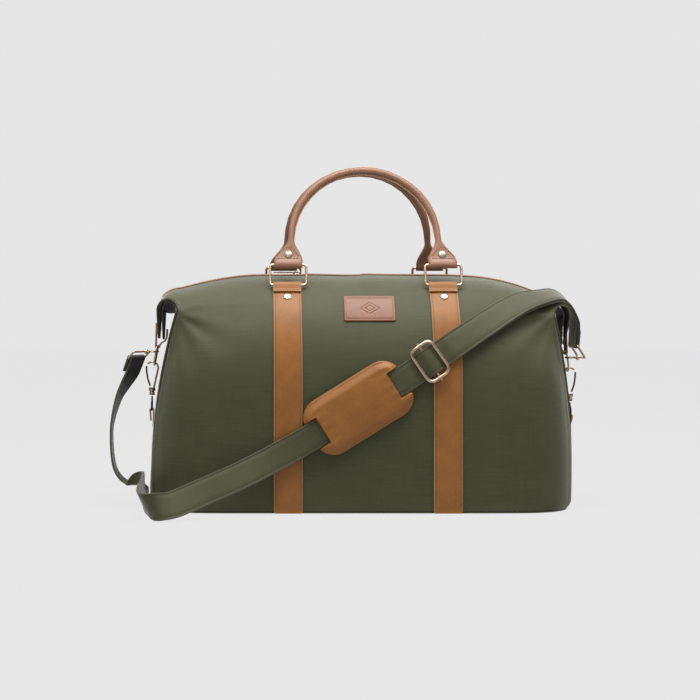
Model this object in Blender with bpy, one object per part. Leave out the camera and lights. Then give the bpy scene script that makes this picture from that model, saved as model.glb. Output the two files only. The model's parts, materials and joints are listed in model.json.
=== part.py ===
"""Canvas weekender bag with leather straps, winged zip ends, two rolled handles and a shoulder strap.

Metres, +Z up, the front faces -Y, the origin is on the ground under the middle of the bag.
"""
import math

import bmesh
import bpy
import numpy as np
from mathutils import Vector

# ---------------------------------------------------------------- driving dimensions
HALF_DEPTH = 0.120          # front or back face from the middle
HEIGHT = 0.3015             # zip ridge
SHOULDER_Z = 0.140          # the faces are upright below this height
SHOULDER_POWER = 2.3        # superellipse power of the shoulder
SEAM_Y = 0.085              # side seams from the middle
GUSSET_X = {-1: 0.2790, 1: 0.2715}     # middle of a gusset at the base, by side
GUSSET_TOP = 0.2440         # and up at the fold
GUSSET_BOW = {-1: 0.0055, 1: 0.0105}   # how far its middle stands out of the seams at the base
FOLD_X = 0.2395             # where the zip end starts to fold down
FOLD_Z = 0.2535             # axis of that fold
FLAP_X = 0.0300             # fold axis to the outside of the hanging flap
FLAP_DROP = 0.036           # fold axis to the flap's tip
RIDGE_FLAT = 0.130          # the ridge is level this far from the middle
RIDGE_DROP = {-1: 0.0175, 1: 0.0255}   # how far it has dropped at the fold, by side
WING_SHIFT = {-1: 0.0, 1: -0.008}      # the right wing hangs lower
POCKET = (0.0190, 0.0035)   # the gusset's fold under a wing: how far it reaches out, and its sag
CORNER_R = 0.014            # the lower corners are rounded as seen from the front
CANVAS = 0.0022
LEATHER = 0.0024
GAP = 0.0003
BASE_THICK = 0.003

TRIM_W = 0.009              # leather strips beside the zip
TRIM_T = 0.0014
FOLD_LIFT = 0.0012          # they stand this much further off where the wings begin
SLIDER_START = -0.085       # the closed zip's slider, from the middle

STRAP_X = 0.100             # leather strap centres
STRAP_W = 0.036
RING_PLAY = {-1: 0.0016, 1: -0.0016}     # the rings sit off the straps' middle, front and back
BAR_R = 0.0017              # wire of the rectangular rings
BAR_CLEAR = 0.0004
RING_W = 0.0466             # wire centre to wire centre
RING_H = 0.0285
LOOP_ARC = 0.0685           # ring bar from the ridge, along the section
FOLD_BACK = 0.0125          # the strap end folded back over its own front

HANDLE_R = 0.0052
HANDLE_TAPER = 0.70         # the legs are this much slimmer than the grip
HANDLE_SPAN = 0.0958        # half width at the neck
HANDLE_NECK = 0.0368        # ring bar to neck
HANDLE_RISE = 0.0995        # neck to the top of the arc
FOOT_W = 0.0375
RIVET_UP = 0.0134

LINK_R = 0.0013             # wire of the small hooks and rings
WEB_W = 0.034               # shoulder strap
WEB_T = 0.0024

# ---------------------------------------------------------------- scene and materials
for leftover in list(bpy.data.objects):
    bpy.data.objects.remove(leftover, do_unlink=True)


def material(name, colour, rough, metal=0.0):
    made = bpy.data.materials.get(name)
    if made:
        return made
    made = bpy.data.materials.new(name)
    made.use_nodes = True
    shader = made.node_tree.nodes["Principled BSDF"]
    shader.inputs["Base Color"].default_value = (*colour, 1.0)
    shader.inputs["Roughness"].default_value = rough
    shader.inputs["Metallic"].default_value = metal
    return made


COLOURS = {
    "canvas": ((0.075, 0.078, 0.045), 0.9, 0.0),
    "canvas_dark": ((0.030, 0.031, 0.022), 0.9, 0.0),
    "webbing": ((0.060, 0.066, 0.036), 0.85, 0.0),
    "leather": ((0.36, 0.17, 0.060), 0.45, 0.0),
    "leather_edge": ((0.28, 0.13, 0.050), 0.55, 0.0),
    "metal": ((0.80, 0.58, 0.44), 0.22, 1.0),
    "metal_dark": ((0.10, 0.08, 0.07), 0.35, 1.0),
    "zip": ((0.05, 0.05, 0.035), 0.7, 0.0),
    "board": ((0.10, 0.09, 0.07), 0.9, 0.0),
}


def finish_object(obj, finish, smooth=True):
    """Give an object its own material and shade it."""
    colour, rough, metal = COLOURS[finish]
    obj.data.materials.clear()
    obj.data.materials.append(material(obj.name + "_" + finish, colour, rough, metal))
    if smooth and obj.type == "MESH":
        obj.data.shade_smooth()
        obj.data.set_sharp_from_angle(angle=math.radians(40))
    return obj


def new_object(name, data):
    obj = bpy.data.objects.new(name, data)
    bpy.context.scene.collection.objects.link(obj)
    return obj


def mesh_object(name, points, faces, finish, smooth=True):
    """A closed mesh from points and faces, with its faces turned outwards."""
    mesh = bpy.data.meshes.new(name)
    mesh.from_pydata([tuple(p) for p in points], [], faces)
    work = bmesh.new()
    work.from_mesh(mesh)
    bmesh.ops.recalc_face_normals(work, faces=work.faces)
    if work.calc_volume(signed=True) < 0:
        bmesh.ops.reverse_faces(work, faces=work.faces)
    work.to_mesh(mesh)
    work.free()
    mesh.update()
    return finish_object(new_object(name, mesh), finish, smooth)


# ---------------------------------------------------------------- shapes
def smooth_step(value):
    value = min(max(value, 0.0), 1.0)
    return value * value * (3.0 - 2.0 * value)


def loft(name, rings, finish, closed=False, smooth=True):
    """Join rings of points, each ring as long as the next, and cap the ends."""
    count = len(rings[0])
    points = [p for ring in rings for p in ring]
    faces = []
    last = len(rings) if closed else len(rings) - 1
    for i in range(last):
        a, b = i * count, ((i + 1) % len(rings)) * count
        for j in range(count):
            k = (j + 1) % count
            faces.append((a + j, a + k, b + k, b + j))
    if not closed:
        faces.append(tuple(range(count)))
        faces.append(tuple(reversed(range((len(rings) - 1) * count, len(rings) * count))))
    return mesh_object(name, points, faces, finish, smooth)


def shell(name, surface, across, along, thick, finish):
    """A sheet: an outer face from surface(u, v) and an inner face thick below it."""
    us = [i / across for i in range(across + 1)]
    vs = [j / along for j in range(along + 1)]
    outer = [[Vector(surface(u, v)) for u in us] for v in vs]
    inner = []
    for j, row in enumerate(outer):
        made = []
        for i, here in enumerate(row):
            du = row[min(i + 1, across)] - row[max(i - 1, 0)]
            dv = outer[min(j + 1, along)][i] - outer[max(j - 1, 0)][i]
            made.append(here - du.cross(dv).normalized() * thick)
        inner.append(made)
    points = [p for row in outer for p in row] + [p for row in inner for p in row]
    wide, half = across + 1, (across + 1) * (along + 1)
    faces = []
    for j in range(along):
        for i in range(across):
            a = j * wide + i
            faces.append((a, a + 1, a + wide + 1, a + wide))
            faces.append(tuple(half + q for q in (a, a + wide, a + wide + 1, a + 1)))
    rim = [i for i in range(across)]
    rim += [j * wide + across for j in range(along)]
    rim += [along * wide + i for i in range(across, 0, -1)]
    rim += [j * wide for j in range(along, 0, -1)]
    for a, b in zip(rim, rim[1:] + rim[:1]):
        faces.append((a, half + a, half + b, b))
    return mesh_object(name, points, faces, finish)


def band(name, centres, side, width, thick, finish):
    """A flat strip: centres of its thickness, side(i) its width direction at each."""
    rings = []
    for i, here in enumerate(centres):
        ahead = (centres[min(i + 1, len(centres) - 1)] - centres[max(i - 1, 0)]).normalized()
        wide = Vector(side(i))
        wide = (wide - ahead * wide.dot(ahead)).normalized()
        up = ahead.cross(wide)
        w, t = wide * width / 2, up * thick / 2
        rings.append([here - w - t, here + w - t, here + w + t, here - w + t])
    return loft(name, rings, finish)


def wire(name, points, radius, finish, cyclic=False, sides=1):
    """A round wire through the points: a curve with a bevel and filled caps."""
    curve = bpy.data.curves.new(name, "CURVE")
    curve.dimensions = "3D"
    curve.bevel_depth = radius
    curve.bevel_resolution = sides
    curve.use_fill_caps = True
    spline = curve.splines.new("POLY")
    spline.points.add(len(points) - 1)
    for slot, place in zip(spline.points, points):
        slot.co = (*place, 1.0)
    spline.use_cyclic_u = cyclic
    return finish_object(new_object(name, curve), finish, smooth=False)


def lathe(name, profile, centre, axis, finish, steps=12):
    """Turn (radius, height) pairs about an axis through centre. First and last radius are small."""
    axis = Vector(axis).normalized()
    first = axis.orthogonal().normalized()
    second = axis.cross(first)
    rings = []
    for radius, height in profile:
        ring = []
        for k in range(steps):
            angle = 2 * math.pi * k / steps
            ring.append(Vector(centre) + axis * height
                        + (first * math.cos(angle) + second * math.sin(angle)) * radius)
        rings.append(ring)
    return loft(name, rings, finish)


def cut(obj, cutter):
    """Take the cutter's shape out of the object."""
    cutter.hide_render = True
    cutter.display_type = "WIRE"
    taken = obj.modifiers.new("cut_" + cutter.name, "BOOLEAN")
    taken.operation = "DIFFERENCE"
    taken.object = cutter


def catmull(points, steps):
    """A smooth curve through the points."""
    pts = [Vector(p) for p in points]
    ends = [pts[0] * 2 - pts[1]] + pts + [pts[-1] * 2 - pts[-2]]
    made = []
    for i in range(1, len(ends) - 2):
        a, b, c, d = ends[i - 1:i + 3]
        for k in range(steps):
            t = k / steps
            made.append(0.5 * ((2 * b) + (c - a) * t + (2 * a - 5 * b + 4 * c - d) * t * t
                               + (3 * b - a - 3 * c + d) * t ** 3))
    made.append(pts[-1])
    return made


# ---------------------------------------------------------------- the bag's form
def ridge_z(x):
    """Height of the zip ridge before the fold."""
    side = 1 if x > 0 else -1
    out = max(0.0, abs(x) - RIDGE_FLAT) / (FOLD_X - RIDGE_FLAT)
    return HEIGHT - RIDGE_DROP[side] * out ** 2.3


def section(x, arc):
    """Point (depth, height) of the face at x: arc 0 is the base and 1 the ridge."""
    top = ridge_z(x)
    upright = (SHOULDER_Z - BASE_THICK) / (SHOULDER_Z - BASE_THICK + 0.222)
    if arc < upright:
        return HALF_DEPTH, BASE_THICK + GAP + (SHOULDER_Z - BASE_THICK - GAP) * arc / upright
    turn = (arc - upright) / (1 - upright) * math.pi / 2
    power = 2 / SHOULDER_POWER
    depth = HALF_DEPTH * max(math.cos(turn), 0.0) ** power
    return depth, SHOULDER_Z + (top - SHOULDER_Z) * math.sin(turn) ** power


def section_line(x, count=160):
    """The face's section at x as even steps, from the base to the ridge."""
    raw = np.array([section(x, i / 600) for i in range(601)])
    run = np.concatenate([[0], np.cumsum(np.hypot(*np.diff(raw, axis=0).T))])
    even = np.linspace(0, run[-1], count)
    return even, np.interp(even, run, raw[:, 0]), np.interp(even, run, raw[:, 1])


def gusset_mid(side, z):
    """Middle of a gusset's outside at height z."""
    low = max(1 - max(z, 0.0) / CORNER_R, 0.0)
    tuck = CORNER_R * (1 - math.sqrt(1 - low ** 2))
    return GUSSET_X[side] - (GUSSET_X[side] - GUSSET_TOP) * (max(z, 0.0) / 0.25) ** 2.2 - tuck


def seam_x(side, z):
    return gusset_mid(side, z) - GUSSET_BOW[side] * (1 - min(z / 0.25, 1.0)) - 0.0005


FOLD_ARC = FLAP_X * math.pi / 2
WING_RUN = FOLD_ARC + FLAP_DROP


def fold_over(side, run, depth, lift):
    """A point of the wing: run past the fold line, lift above the fold's axis."""
    angle = min(max(run, 0.0) / FLAP_X, math.pi / 2)
    past = max(run - FOLD_ARC, 0.0)
    x = FOLD_X + min(run, 0.0) + lift * math.sin(angle)
    z = FOLD_Z + WING_SHIFT[side] + lift * math.cos(angle) - past
    return Vector((side * x, depth, z))


ROWS = section_line(0.0)
TOP_EDGE = 0.0075           # the panels stop this far from the middle, at the zip
TOP_ROW = 1 - TOP_EDGE / float(ROWS[0][-1])
SEAM_STEP = 0.0030          # the gusset stands this far outside the panel's edge, high up


def panel_row(v):
    """Depth and height of row v of a panel at the middle of the bag, even along the section."""
    run, depth, height = ROWS
    at = v * TOP_ROW * run[-1]
    return float(np.interp(at, run, depth)), float(np.interp(at, run, height))


def row_at(z):
    """The panel row that is z high at the middle of the bag."""
    run, _, height = ROWS
    return float(np.interp(z, height, run)) / run[-1] / TOP_ROW


SEAM_BREAK = row_at(FOLD_Z)  # above this row the side seam turns out under the wing


def wing_stage(v):
    """How far row v is along the wing: part of the way, run past the fold, angle and drop."""
    q = (v - SEAM_BREAK) / (1 - SEAM_BREAK)
    run = WING_RUN * q
    return q, run, min(run / FLAP_X, math.pi / 2), max(run - FOLD_ARC, 0.0)


def seam_row(side, v):
    """Where row v of a panel meets the side seam, unfolded: reach along X, depth, height."""
    if v <= SEAM_BREAK:
        _, height = panel_row(v)
        step = SEAM_STEP * smooth_step((height - 0.05) / 0.15)
        sag = WING_SHIFT[side] * smooth_step((v / SEAM_BREAK - 0.5) * 2)
        return seam_x(side, height) - step, SEAM_Y, height + sag
    q, run, turn, _ = wing_stage(v)
    depth = TOP_EDGE + (SEAM_Y - TOP_EDGE) * (1 - q) ** 0.9
    lift = (FLAP_X - 0.0002) * math.sin(turn) ** 0.8
    return seam_x(side, FOLD_Z) - SEAM_STEP + run, depth, FOLD_Z + WING_SHIFT[side] + lift


def panel_point(u, v, facing):
    """Outside of the front (facing -1) or back (+1) panel. u runs from left to right."""
    side = 1 if u >= 0.5 else -1
    out = abs(2 * u - 1) ** 0.85
    depth, height = panel_row(v)
    reach, seam_depth, seam_z = seam_row(side, v)
    x = out * reach
    bend = out ** (12 - 8 * smooth_step((v - 0.45) / 0.3))
    y = depth + (seam_depth - depth) * bend
    rise = max(height - SHOULDER_Z, 0.0) / (HEIGHT - SHOULDER_Z)
    z = height + (ridge_z(side * min(x, FOLD_X)) - HEIGHT) * rise
    z += (seam_z - z) * bend
    if v > SEAM_BREAK and x > FOLD_X:
        return fold_over(side, x - FOLD_X, facing * y, z - FOLD_Z - WING_SHIFT[side])
    return Vector((side * x, facing * y, z))


def front_surface(x, z, lift=0.0):
    """Point on the front face at (x, z) in the middle of the bag, lifted off it."""
    run, depth, height = section_line(x)
    at = float(np.interp(z, height, run))
    y, zz = float(np.interp(at, run, depth)), float(np.interp(at, run, height))
    step = 0.001
    dy = float(np.interp(at + step, run, depth)) - float(np.interp(at - step, run, depth))
    dz = float(np.interp(at + step, run, height)) - float(np.interp(at - step, run, height))
    normal = Vector((0, -dz, -dy)).normalized()
    return Vector((x, -y, zz)) + normal * lift, normal


# ---------------------------------------------------------------- canvas body
def panels():
    for name, facing in (("front_panel", -1), ("back_panel", 1)):
        def surface(u, v, facing=facing):
            return panel_point(u if facing < 0 else 1 - u, v, facing)
        shell(name, surface, 28, 18, CANVAS, "canvas")


def gusset_point(side, s, v):
    """Outside of a gusset: s from -1 at the front seam to 1 at the back, rows as the panels."""
    if v <= SEAM_BREAK:
        reach, depth, z = seam_row(side, v)
        _, height = panel_row(v)
        edge = seam_x(side, height) + 0.0003
        x = edge + (gusset_mid(side, height) - edge) * (1 - s ** 2) * (height < 0.25)
        inset = 0.0032
        return Vector((side * x, (depth - inset) * s, z))
    q, run, turn, past = wing_stage(v)
    start = seam_x(side, FOLD_Z) + 0.0003
    inner, sag = POCKET
    depth = (TOP_EDGE + (SEAM_Y - TOP_EDGE) * (1 - q) ** 0.9) - 0.0035 - 0.0020 * smooth_step(q * 4)
    axis = FOLD_Z + WING_SHIFT[side]
    mid_x = start + inner / 2 * (1 - math.cos(2 * turn))
    mid_z = axis - sag * math.sin(2 * turn) - past
    lift = (FLAP_X - 0.0090) * math.sin(turn) ** 0.8
    edge_x = start + (FOLD_X - start) * smooth_step(q * 4) + lift * math.sin(turn)
    edge_z = axis + lift * math.cos(turn) - past
    share = s ** 2
    x = mid_x + (edge_x - mid_x) * share
    return Vector((side * x, depth * s, mid_z + (edge_z - mid_z) * share))


def gussets():
    for name, side in (("left_gusset", -1), ("right_gusset", 1)):
        def surface(u, v, side=side):
            return gusset_point(side, (2 * u - 1) * side, v)
        shell(name, surface, 6, 22, CANVAS, "canvas")


def base_outline(inset, steps=10):
    """Outline of the bag's bottom, from the panels' lowest row and the gussets' bow."""
    points = []
    for facing in (-1, 1):
        row = []
        for i in range(2 * steps + 1):
            u = i / (2 * steps)
            u = 0.5 + 0.5 * math.copysign(abs(2 * u - 1) ** 0.6, u - 0.5)
            row.append(panel_point(u, 0.0, facing))
        points += row if facing < 0 else row[::-1]
        side = 1 if facing < 0 else -1
        span = [-0.6, 0.0, 0.6] if side > 0 else [0.6, 0.0, -0.6]
        points += [gusset_point(side, s, 0.0) for s in span]
    shrink = []
    for p in points:
        reach = math.hypot(p.x, p.y * 2)
        shrink.append((p.x - inset * p.x / reach, p.y - inset * 2 * p.y / reach))
    return shrink


def base_parts():
    for name, inset, low, thick, finish in (("base_panel", 0.0005, 0.0, BASE_THICK, "canvas"),
                                            ("base_board", 0.0160, 0.0036, 0.003, "board")):
        outline = base_outline(inset)
        rings = [[Vector((x, y, z)) for x, y in outline] for z in (low, low + thick)]
        loft(name, rings, finish, smooth=False)


# ---------------------------------------------------------------- zip
def ridge_path(side_from, side_to, steps=26):
    """Runs along the ridge from one wing to the other, as (point at y 0, upward normal)."""
    made = []
    for i in range(steps + 1):
        s = side_from + (side_to - side_from) * i / steps
        side = 1 if s > 0 else -1
        if abs(s) <= FOLD_X:
            here = Vector((s, 0, ridge_z(s)))
        else:
            lift = FLAP_X
            here = fold_over(side, abs(s) - FOLD_X, 0.0, lift)
        made.append(here)
    return made


def ridge_band(name, y, width, lift, thick, finish, reach):
    path = ridge_path(-reach, reach, 36)
    lifted = []
    for i, here in enumerate(path):
        ahead = (path[min(i + 1, len(path) - 1)] - path[max(i - 1, 0)]).normalized()
        up = Vector((-ahead.z, 0, ahead.x))
        lifted.append(here + up * lift + Vector((0, y, 0)))
    return band(name, lifted, lambda i: (0, 1, 0), width, thick, finish)


def zip_trim(name, facing):
    """A narrow leather strip on the canvas, along its edge at the zip."""
    rows = float(ROWS[0][-1]) * TOP_ROW
    reach = (FOLD_X + 0.030) / (FOLD_X + WING_RUN)

    def surface(u, v):
        u = 0.5 + 0.5 * math.copysign(abs((2 * u - 1) * reach) ** (1 / 0.85), u - 0.5)
        u = u if facing < 0 else 1 - u
        low = 1 - (TRIM_W + 0.0004) / rows
        v = low + (1 - 0.0004 / rows - low) * v
        step = 0.002
        here = panel_point(u, v, facing)
        along = panel_point(u + step, v, facing) - panel_point(u - step, v, facing)
        up = panel_point(u, min(v + step, 1.0), facing) - panel_point(u, v - step, facing)
        lift = GAP + TRIM_T + FOLD_LIFT * smooth_step(1 - abs(abs(here.x) - FOLD_X) / 0.035)
        return here - along.cross(up).normalized() * facing * lift
    shell(name, surface, 84, 2, TRIM_T, "leather")


def zip_parts():
    reach = FOLD_X + WING_RUN - 0.006
    for name, sign in (("front", -1), ("back", 1)):
        zip_trim("zip_trim_" + name, sign)
        ridge_band("zip_tape_" + name, sign * 0.0039, 0.0062, -0.0036, 0.0007, "zip", reach - 0.004)
    ridge_band("zip_teeth", 0.0, 0.0058, -0.0020, 0.0018, "zip", reach - 0.004)
    top = HEIGHT - 0.0020 + 0.0009
    outline = [(-0.0075, 0.0035), (-0.004, 0.0050), (0.006, 0.0050), (0.0075, 0.0030)]
    outline += [(x, -y) for x, y in reversed(outline)]
    rings = [[Vector((SLIDER_START + x, y, z)) for x, y in outline]
             for z in (top + GAP, top + GAP + 0.0022)]
    loft("zip_slider", rings, "metal", smooth=False)
    bridge = top + GAP + 0.0022
    pull = [Vector((SLIDER_START + x, y, bridge + 0.0016)) for x, y in
            ((-0.002, -0.0028), (-0.026, -0.0045), (-0.031, -0.0030), (-0.031, 0.0030),
             (-0.026, 0.0045), (-0.002, 0.0028), (0.002, 0.0022), (0.002, -0.0022))]
    loft("zip_pull", [pull, [p + Vector((0, 0, 0.0014)) for p in pull]], "metal", smooth=False)


# ---------------------------------------------------------------- leather straps, rings and handles
def strap_frame():
    """Section line at the straps, and where the ring's bar lies on it."""
    run, depth, height = section_line(STRAP_X)
    at = float(run[-1]) - LOOP_ARC

    def place(along, lift):
        y = float(np.interp(along, run, depth))
        z = float(np.interp(along, run, height))
        step = 0.0015
        dy = float(np.interp(along + step, run, depth) - np.interp(along - step, run, depth))
        dz = float(np.interp(along + step, run, height) - np.interp(along - step, run, height))
        size = math.hypot(dy, dz)
        return y + lift * dz / size, z - lift * dy / size
    return at, place


def ring_bar():
    """Depth and height of the rings' lower bars."""
    at, place = strap_frame()
    return place(at, GAP + LEATHER + BAR_CLEAR + BAR_R)


def handle_lean():
    """The handles lean in until their tops almost meet."""
    depth, _ = ring_bar()
    return math.asin((depth - HANDLE_R - 0.0005) / (RING_H + HANDLE_NECK + HANDLE_RISE))


def strap_path():
    """Centre line of a leather strap as (depth, height): up the face, round the bar and back down."""
    at, place = strap_frame()
    low = LEATHER / 2 + GAP
    radius = BAR_R + BAR_CLEAR + LEATHER / 2
    path = [(place(0.0, low)[0], 0.0006)] + [place(at * i / 22, low) for i in range(23)]
    bar = ring_bar()
    foot = place(at, 0.0)
    out = Vector((bar[0] - foot[0], bar[1] - foot[1])).normalized()
    up = Vector((-out.y, out.x))
    for k in range(1, 8):
        turn = math.pi * k / 8
        spot = Vector(bar) - out * radius * math.cos(turn) + up * radius * math.sin(turn)
        path.append((spot.x, spot.y))
    for k in range(8):
        back = FOLD_BACK * k / 7
        settle = smooth_step(back / 0.010)
        lift = (low + 2 * radius) * (1 - settle) + (low + LEATHER + GAP) * settle
        path.append(place(at - back, lift))
    return path


def straps_and_rings():
    path = strap_path()
    bar_y, bar_z = ring_bar()
    lean = handle_lean()
    at, place = strap_frame()
    for facing, fname in ((-1, "front"), (1, "back")):
        for side, sname in ((-1, "left"), (1, "right")):
            tag = fname + "_" + sname
            x = side * STRAP_X
            centres = [Vector((x, facing * y, z)) for y, z in path]
            strap = band("strap_" + tag, centres, lambda i: (1, 0, 0), STRAP_W, LEATHER, "leather")
            spot, rise = place(at - FOLD_BACK - 0.0075, GAP), place(at - FOLD_BACK - 0.0075, 0.01)
            out = Vector((0, facing * (rise[0] - spot[0]), rise[1] - spot[1])).normalized()
            centre = Vector((x, facing * spot[0], spot[1]))
            hole = lathe("hole_" + tag, [(0.0021, -0.002), (0.0021, 0.006)], centre, out, "metal")
            cut(strap, hole)
            lathe("strap_rivet_" + tag,
                  [(0.0018, 0.0003), (0.0018, LEATHER + GAP), (0.0052, LEATHER + GAP),
                   (0.0052, LEATHER + 0.0011), (0.0034, LEATHER + 0.0019), (0.0004, LEATHER + 0.0022)],
                  centre, out, "metal")
            ring(tag, x + RING_PLAY[facing], facing, bar_y, bar_z, lean)


def leaning(x, facing, bar_y, bar_z, lean, across, up, out=0.0):
    """A point in the plane of a leaning ring and handle."""
    depth = bar_y - up * math.sin(lean) + out * math.cos(lean)
    return Vector((x + across, facing * depth, bar_z + up * math.cos(lean) + out * math.sin(lean)))


def ring(tag, x, facing, bar_y, bar_z, lean):
    corner = 0.0035
    half = RING_W / 2 - corner
    points = []
    for cx, cz, start in ((half, corner, -90), (half, RING_H - corner, 0),
                          (-half, RING_H - corner, 90), (-half, corner, 180)):
        for k in range(5):
            turn = math.radians(start + 22.5 * k)
            points.append(leaning(x, facing, bar_y, bar_z, lean,
                                  cx + corner * math.cos(turn), cz + corner * math.sin(turn)))
    wire("ring_" + tag, points, BAR_R, "metal", cyclic=True)


def handle_profile(up):
    """Half width and half thickness of a handle, from the height above the ring's bar."""
    flare = 1 - smooth_step((up - 0.004) / 0.033)
    slim = HANDLE_R * (HANDLE_TAPER + (1 - HANDLE_TAPER) * smooth_step((up - HANDLE_NECK) / 0.070))
    half_w = slim + (FOOT_W / 2 - slim) * flare
    eye = 0.0047
    flat = 0.0027
    if up < 0.011:
        half_t = eye + (flat - eye) * smooth_step(up / 0.010)
    else:
        half_t = flat + (slim - flat) * smooth_step((up - 0.016) / 0.020)
    if up < 0:
        half_t = math.sqrt(max(eye ** 2 - up ** 2, 0.0009 ** 2))
    return half_w, half_t


def handle_stations():
    """(across, up, direction angle) along a handle, from the left foot to the right foot."""
    foot = [-0.0046, -0.0038, -0.0024, 0.0, 0.004, 0.008, 0.012, 0.016, 0.020, 0.024, 0.029, 0.034]
    left = [(-STRAP_X + (STRAP_X - HANDLE_SPAN) * smooth_step(up / HANDLE_NECK), up) for up in foot]
    arc = []
    for k in range(19):
        turn = math.pi - math.pi * k / 18
        arc.append((HANDLE_SPAN * math.cos(turn), HANDLE_NECK + HANDLE_RISE * math.sin(turn)))
    return left + arc + [(-x, up) for x, up in reversed(left)]


def handles():
    bar_y, bar_z = ring_bar()
    lean = handle_lean()
    for facing, fname in ((-1, "front"), (1, "back")):
        stations = handle_stations()
        rings = []
        for i, (x, up) in enumerate(stations):
            before, after = stations[max(i - 1, 0)], stations[min(i + 1, len(stations) - 1)]
            dx, du = after[0] - before[0], after[1] - before[1]
            size = math.hypot(dx, du)
            side_x, side_u = du / size, -dx / size
            half_w, half_t = handle_profile(up)
            if up < 0.030:
                side_x, side_u = math.copysign(1.0, du), 0.0
            ring_points = []
            for k in range(12):
                turn = 2 * math.pi * (k + 0.5) / 12
                c, s = math.cos(turn), math.sin(turn)
                blunt = 1.0 if up > 0.030 else 0.6
                a = math.copysign(abs(c) ** blunt, c) * half_w
                b = math.copysign(abs(s) ** blunt, s) * half_t
                ring_points.append(leaning(RING_PLAY[facing], facing, bar_y, bar_z, lean, x + side_x * a,
                                           RING_H + up + side_u * a, b))
            rings.append(ring_points)
        made = loft("handle_" + fname, rings, "leather")
        for side, sname in ((-1, "left"), (1, "right")):
            x = side * STRAP_X + RING_PLAY[facing]
            low = leaning(x, facing, bar_y, bar_z, lean, -0.03, RING_H)
            bar = lathe("bar_hole_" + fname + sname, [(BAR_R + BAR_CLEAR, 0), (BAR_R + BAR_CLEAR, 0.06)],
                        low, (1, 0, 0), "metal")
            cut(made, bar)
            spot = leaning(x - side * 0.0006, facing, bar_y, bar_z, lean, 0, RING_H + RIVET_UP)
            out = leaning(0, facing, 0, 0, lean, 0, 0, 1.0)
            hole = lathe("rivet_hole_" + fname + sname, [(0.0021, -0.008), (0.0021, 0.008)], spot, out,
                         "metal")
            cut(made, hole)
            head = 0.0027 + GAP
            lathe("handle_rivet_" + fname + "_" + sname,
                  [(0.0004, -head - 0.0014), (0.0032, -head - 0.0012), (0.0046, -head - 0.0007),
                   (0.0046, -head), (0.0018, -head), (0.0018, head), (0.0046, head),
                   (0.0046, head + 0.0007), (0.0032, head + 0.0012), (0.0004, head + 0.0014)],
                  spot, out, "metal")


def label():
    """A small leather patch on the front shoulder."""
    def surface(u, v):
        x = 0.0040 + (u - 0.5) * 0.065
        z = 0.2405 + v * 0.0315
        return front_surface(x, z, GAP + 0.0016)[0]
    shell("label_patch", surface, 6, 8, 0.0016, "leather")


# ---------------------------------------------------------------- wing tabs, rings and hooks
TAB_BAR = (0.2700, 0.2075)      # top bar of a wing ring (x, z)
RING_FOOT = (0.2745, 0.1822)    # its lowest wire
HOOK_EYE = (0.2773, 0.1785)     # centre of the hook's round top
HOOK_BASE = (0.2775, 0.1490)
LOOP_TOP = (0.2775, 0.1350)
LOOP_FOOT = (0.2778, 0.1225)
EYE_R = 0.0080


def arc_points(centre, radius, start, stop, count):
    made = []
    for k in range(count + 1):
        turn = math.radians(start + (stop - start) * k / count)
        made.append((centre[0] + radius * math.cos(turn), centre[1] + radius * math.sin(turn)))
    return made


def side_band(name, side, path, width, thick, shift, y=0.0):
    centres = [Vector((side * x, y, z + shift)) for x, z in path]
    return band(name, centres, lambda i: (0, 1, 0), width, thick, "leather")


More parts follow.
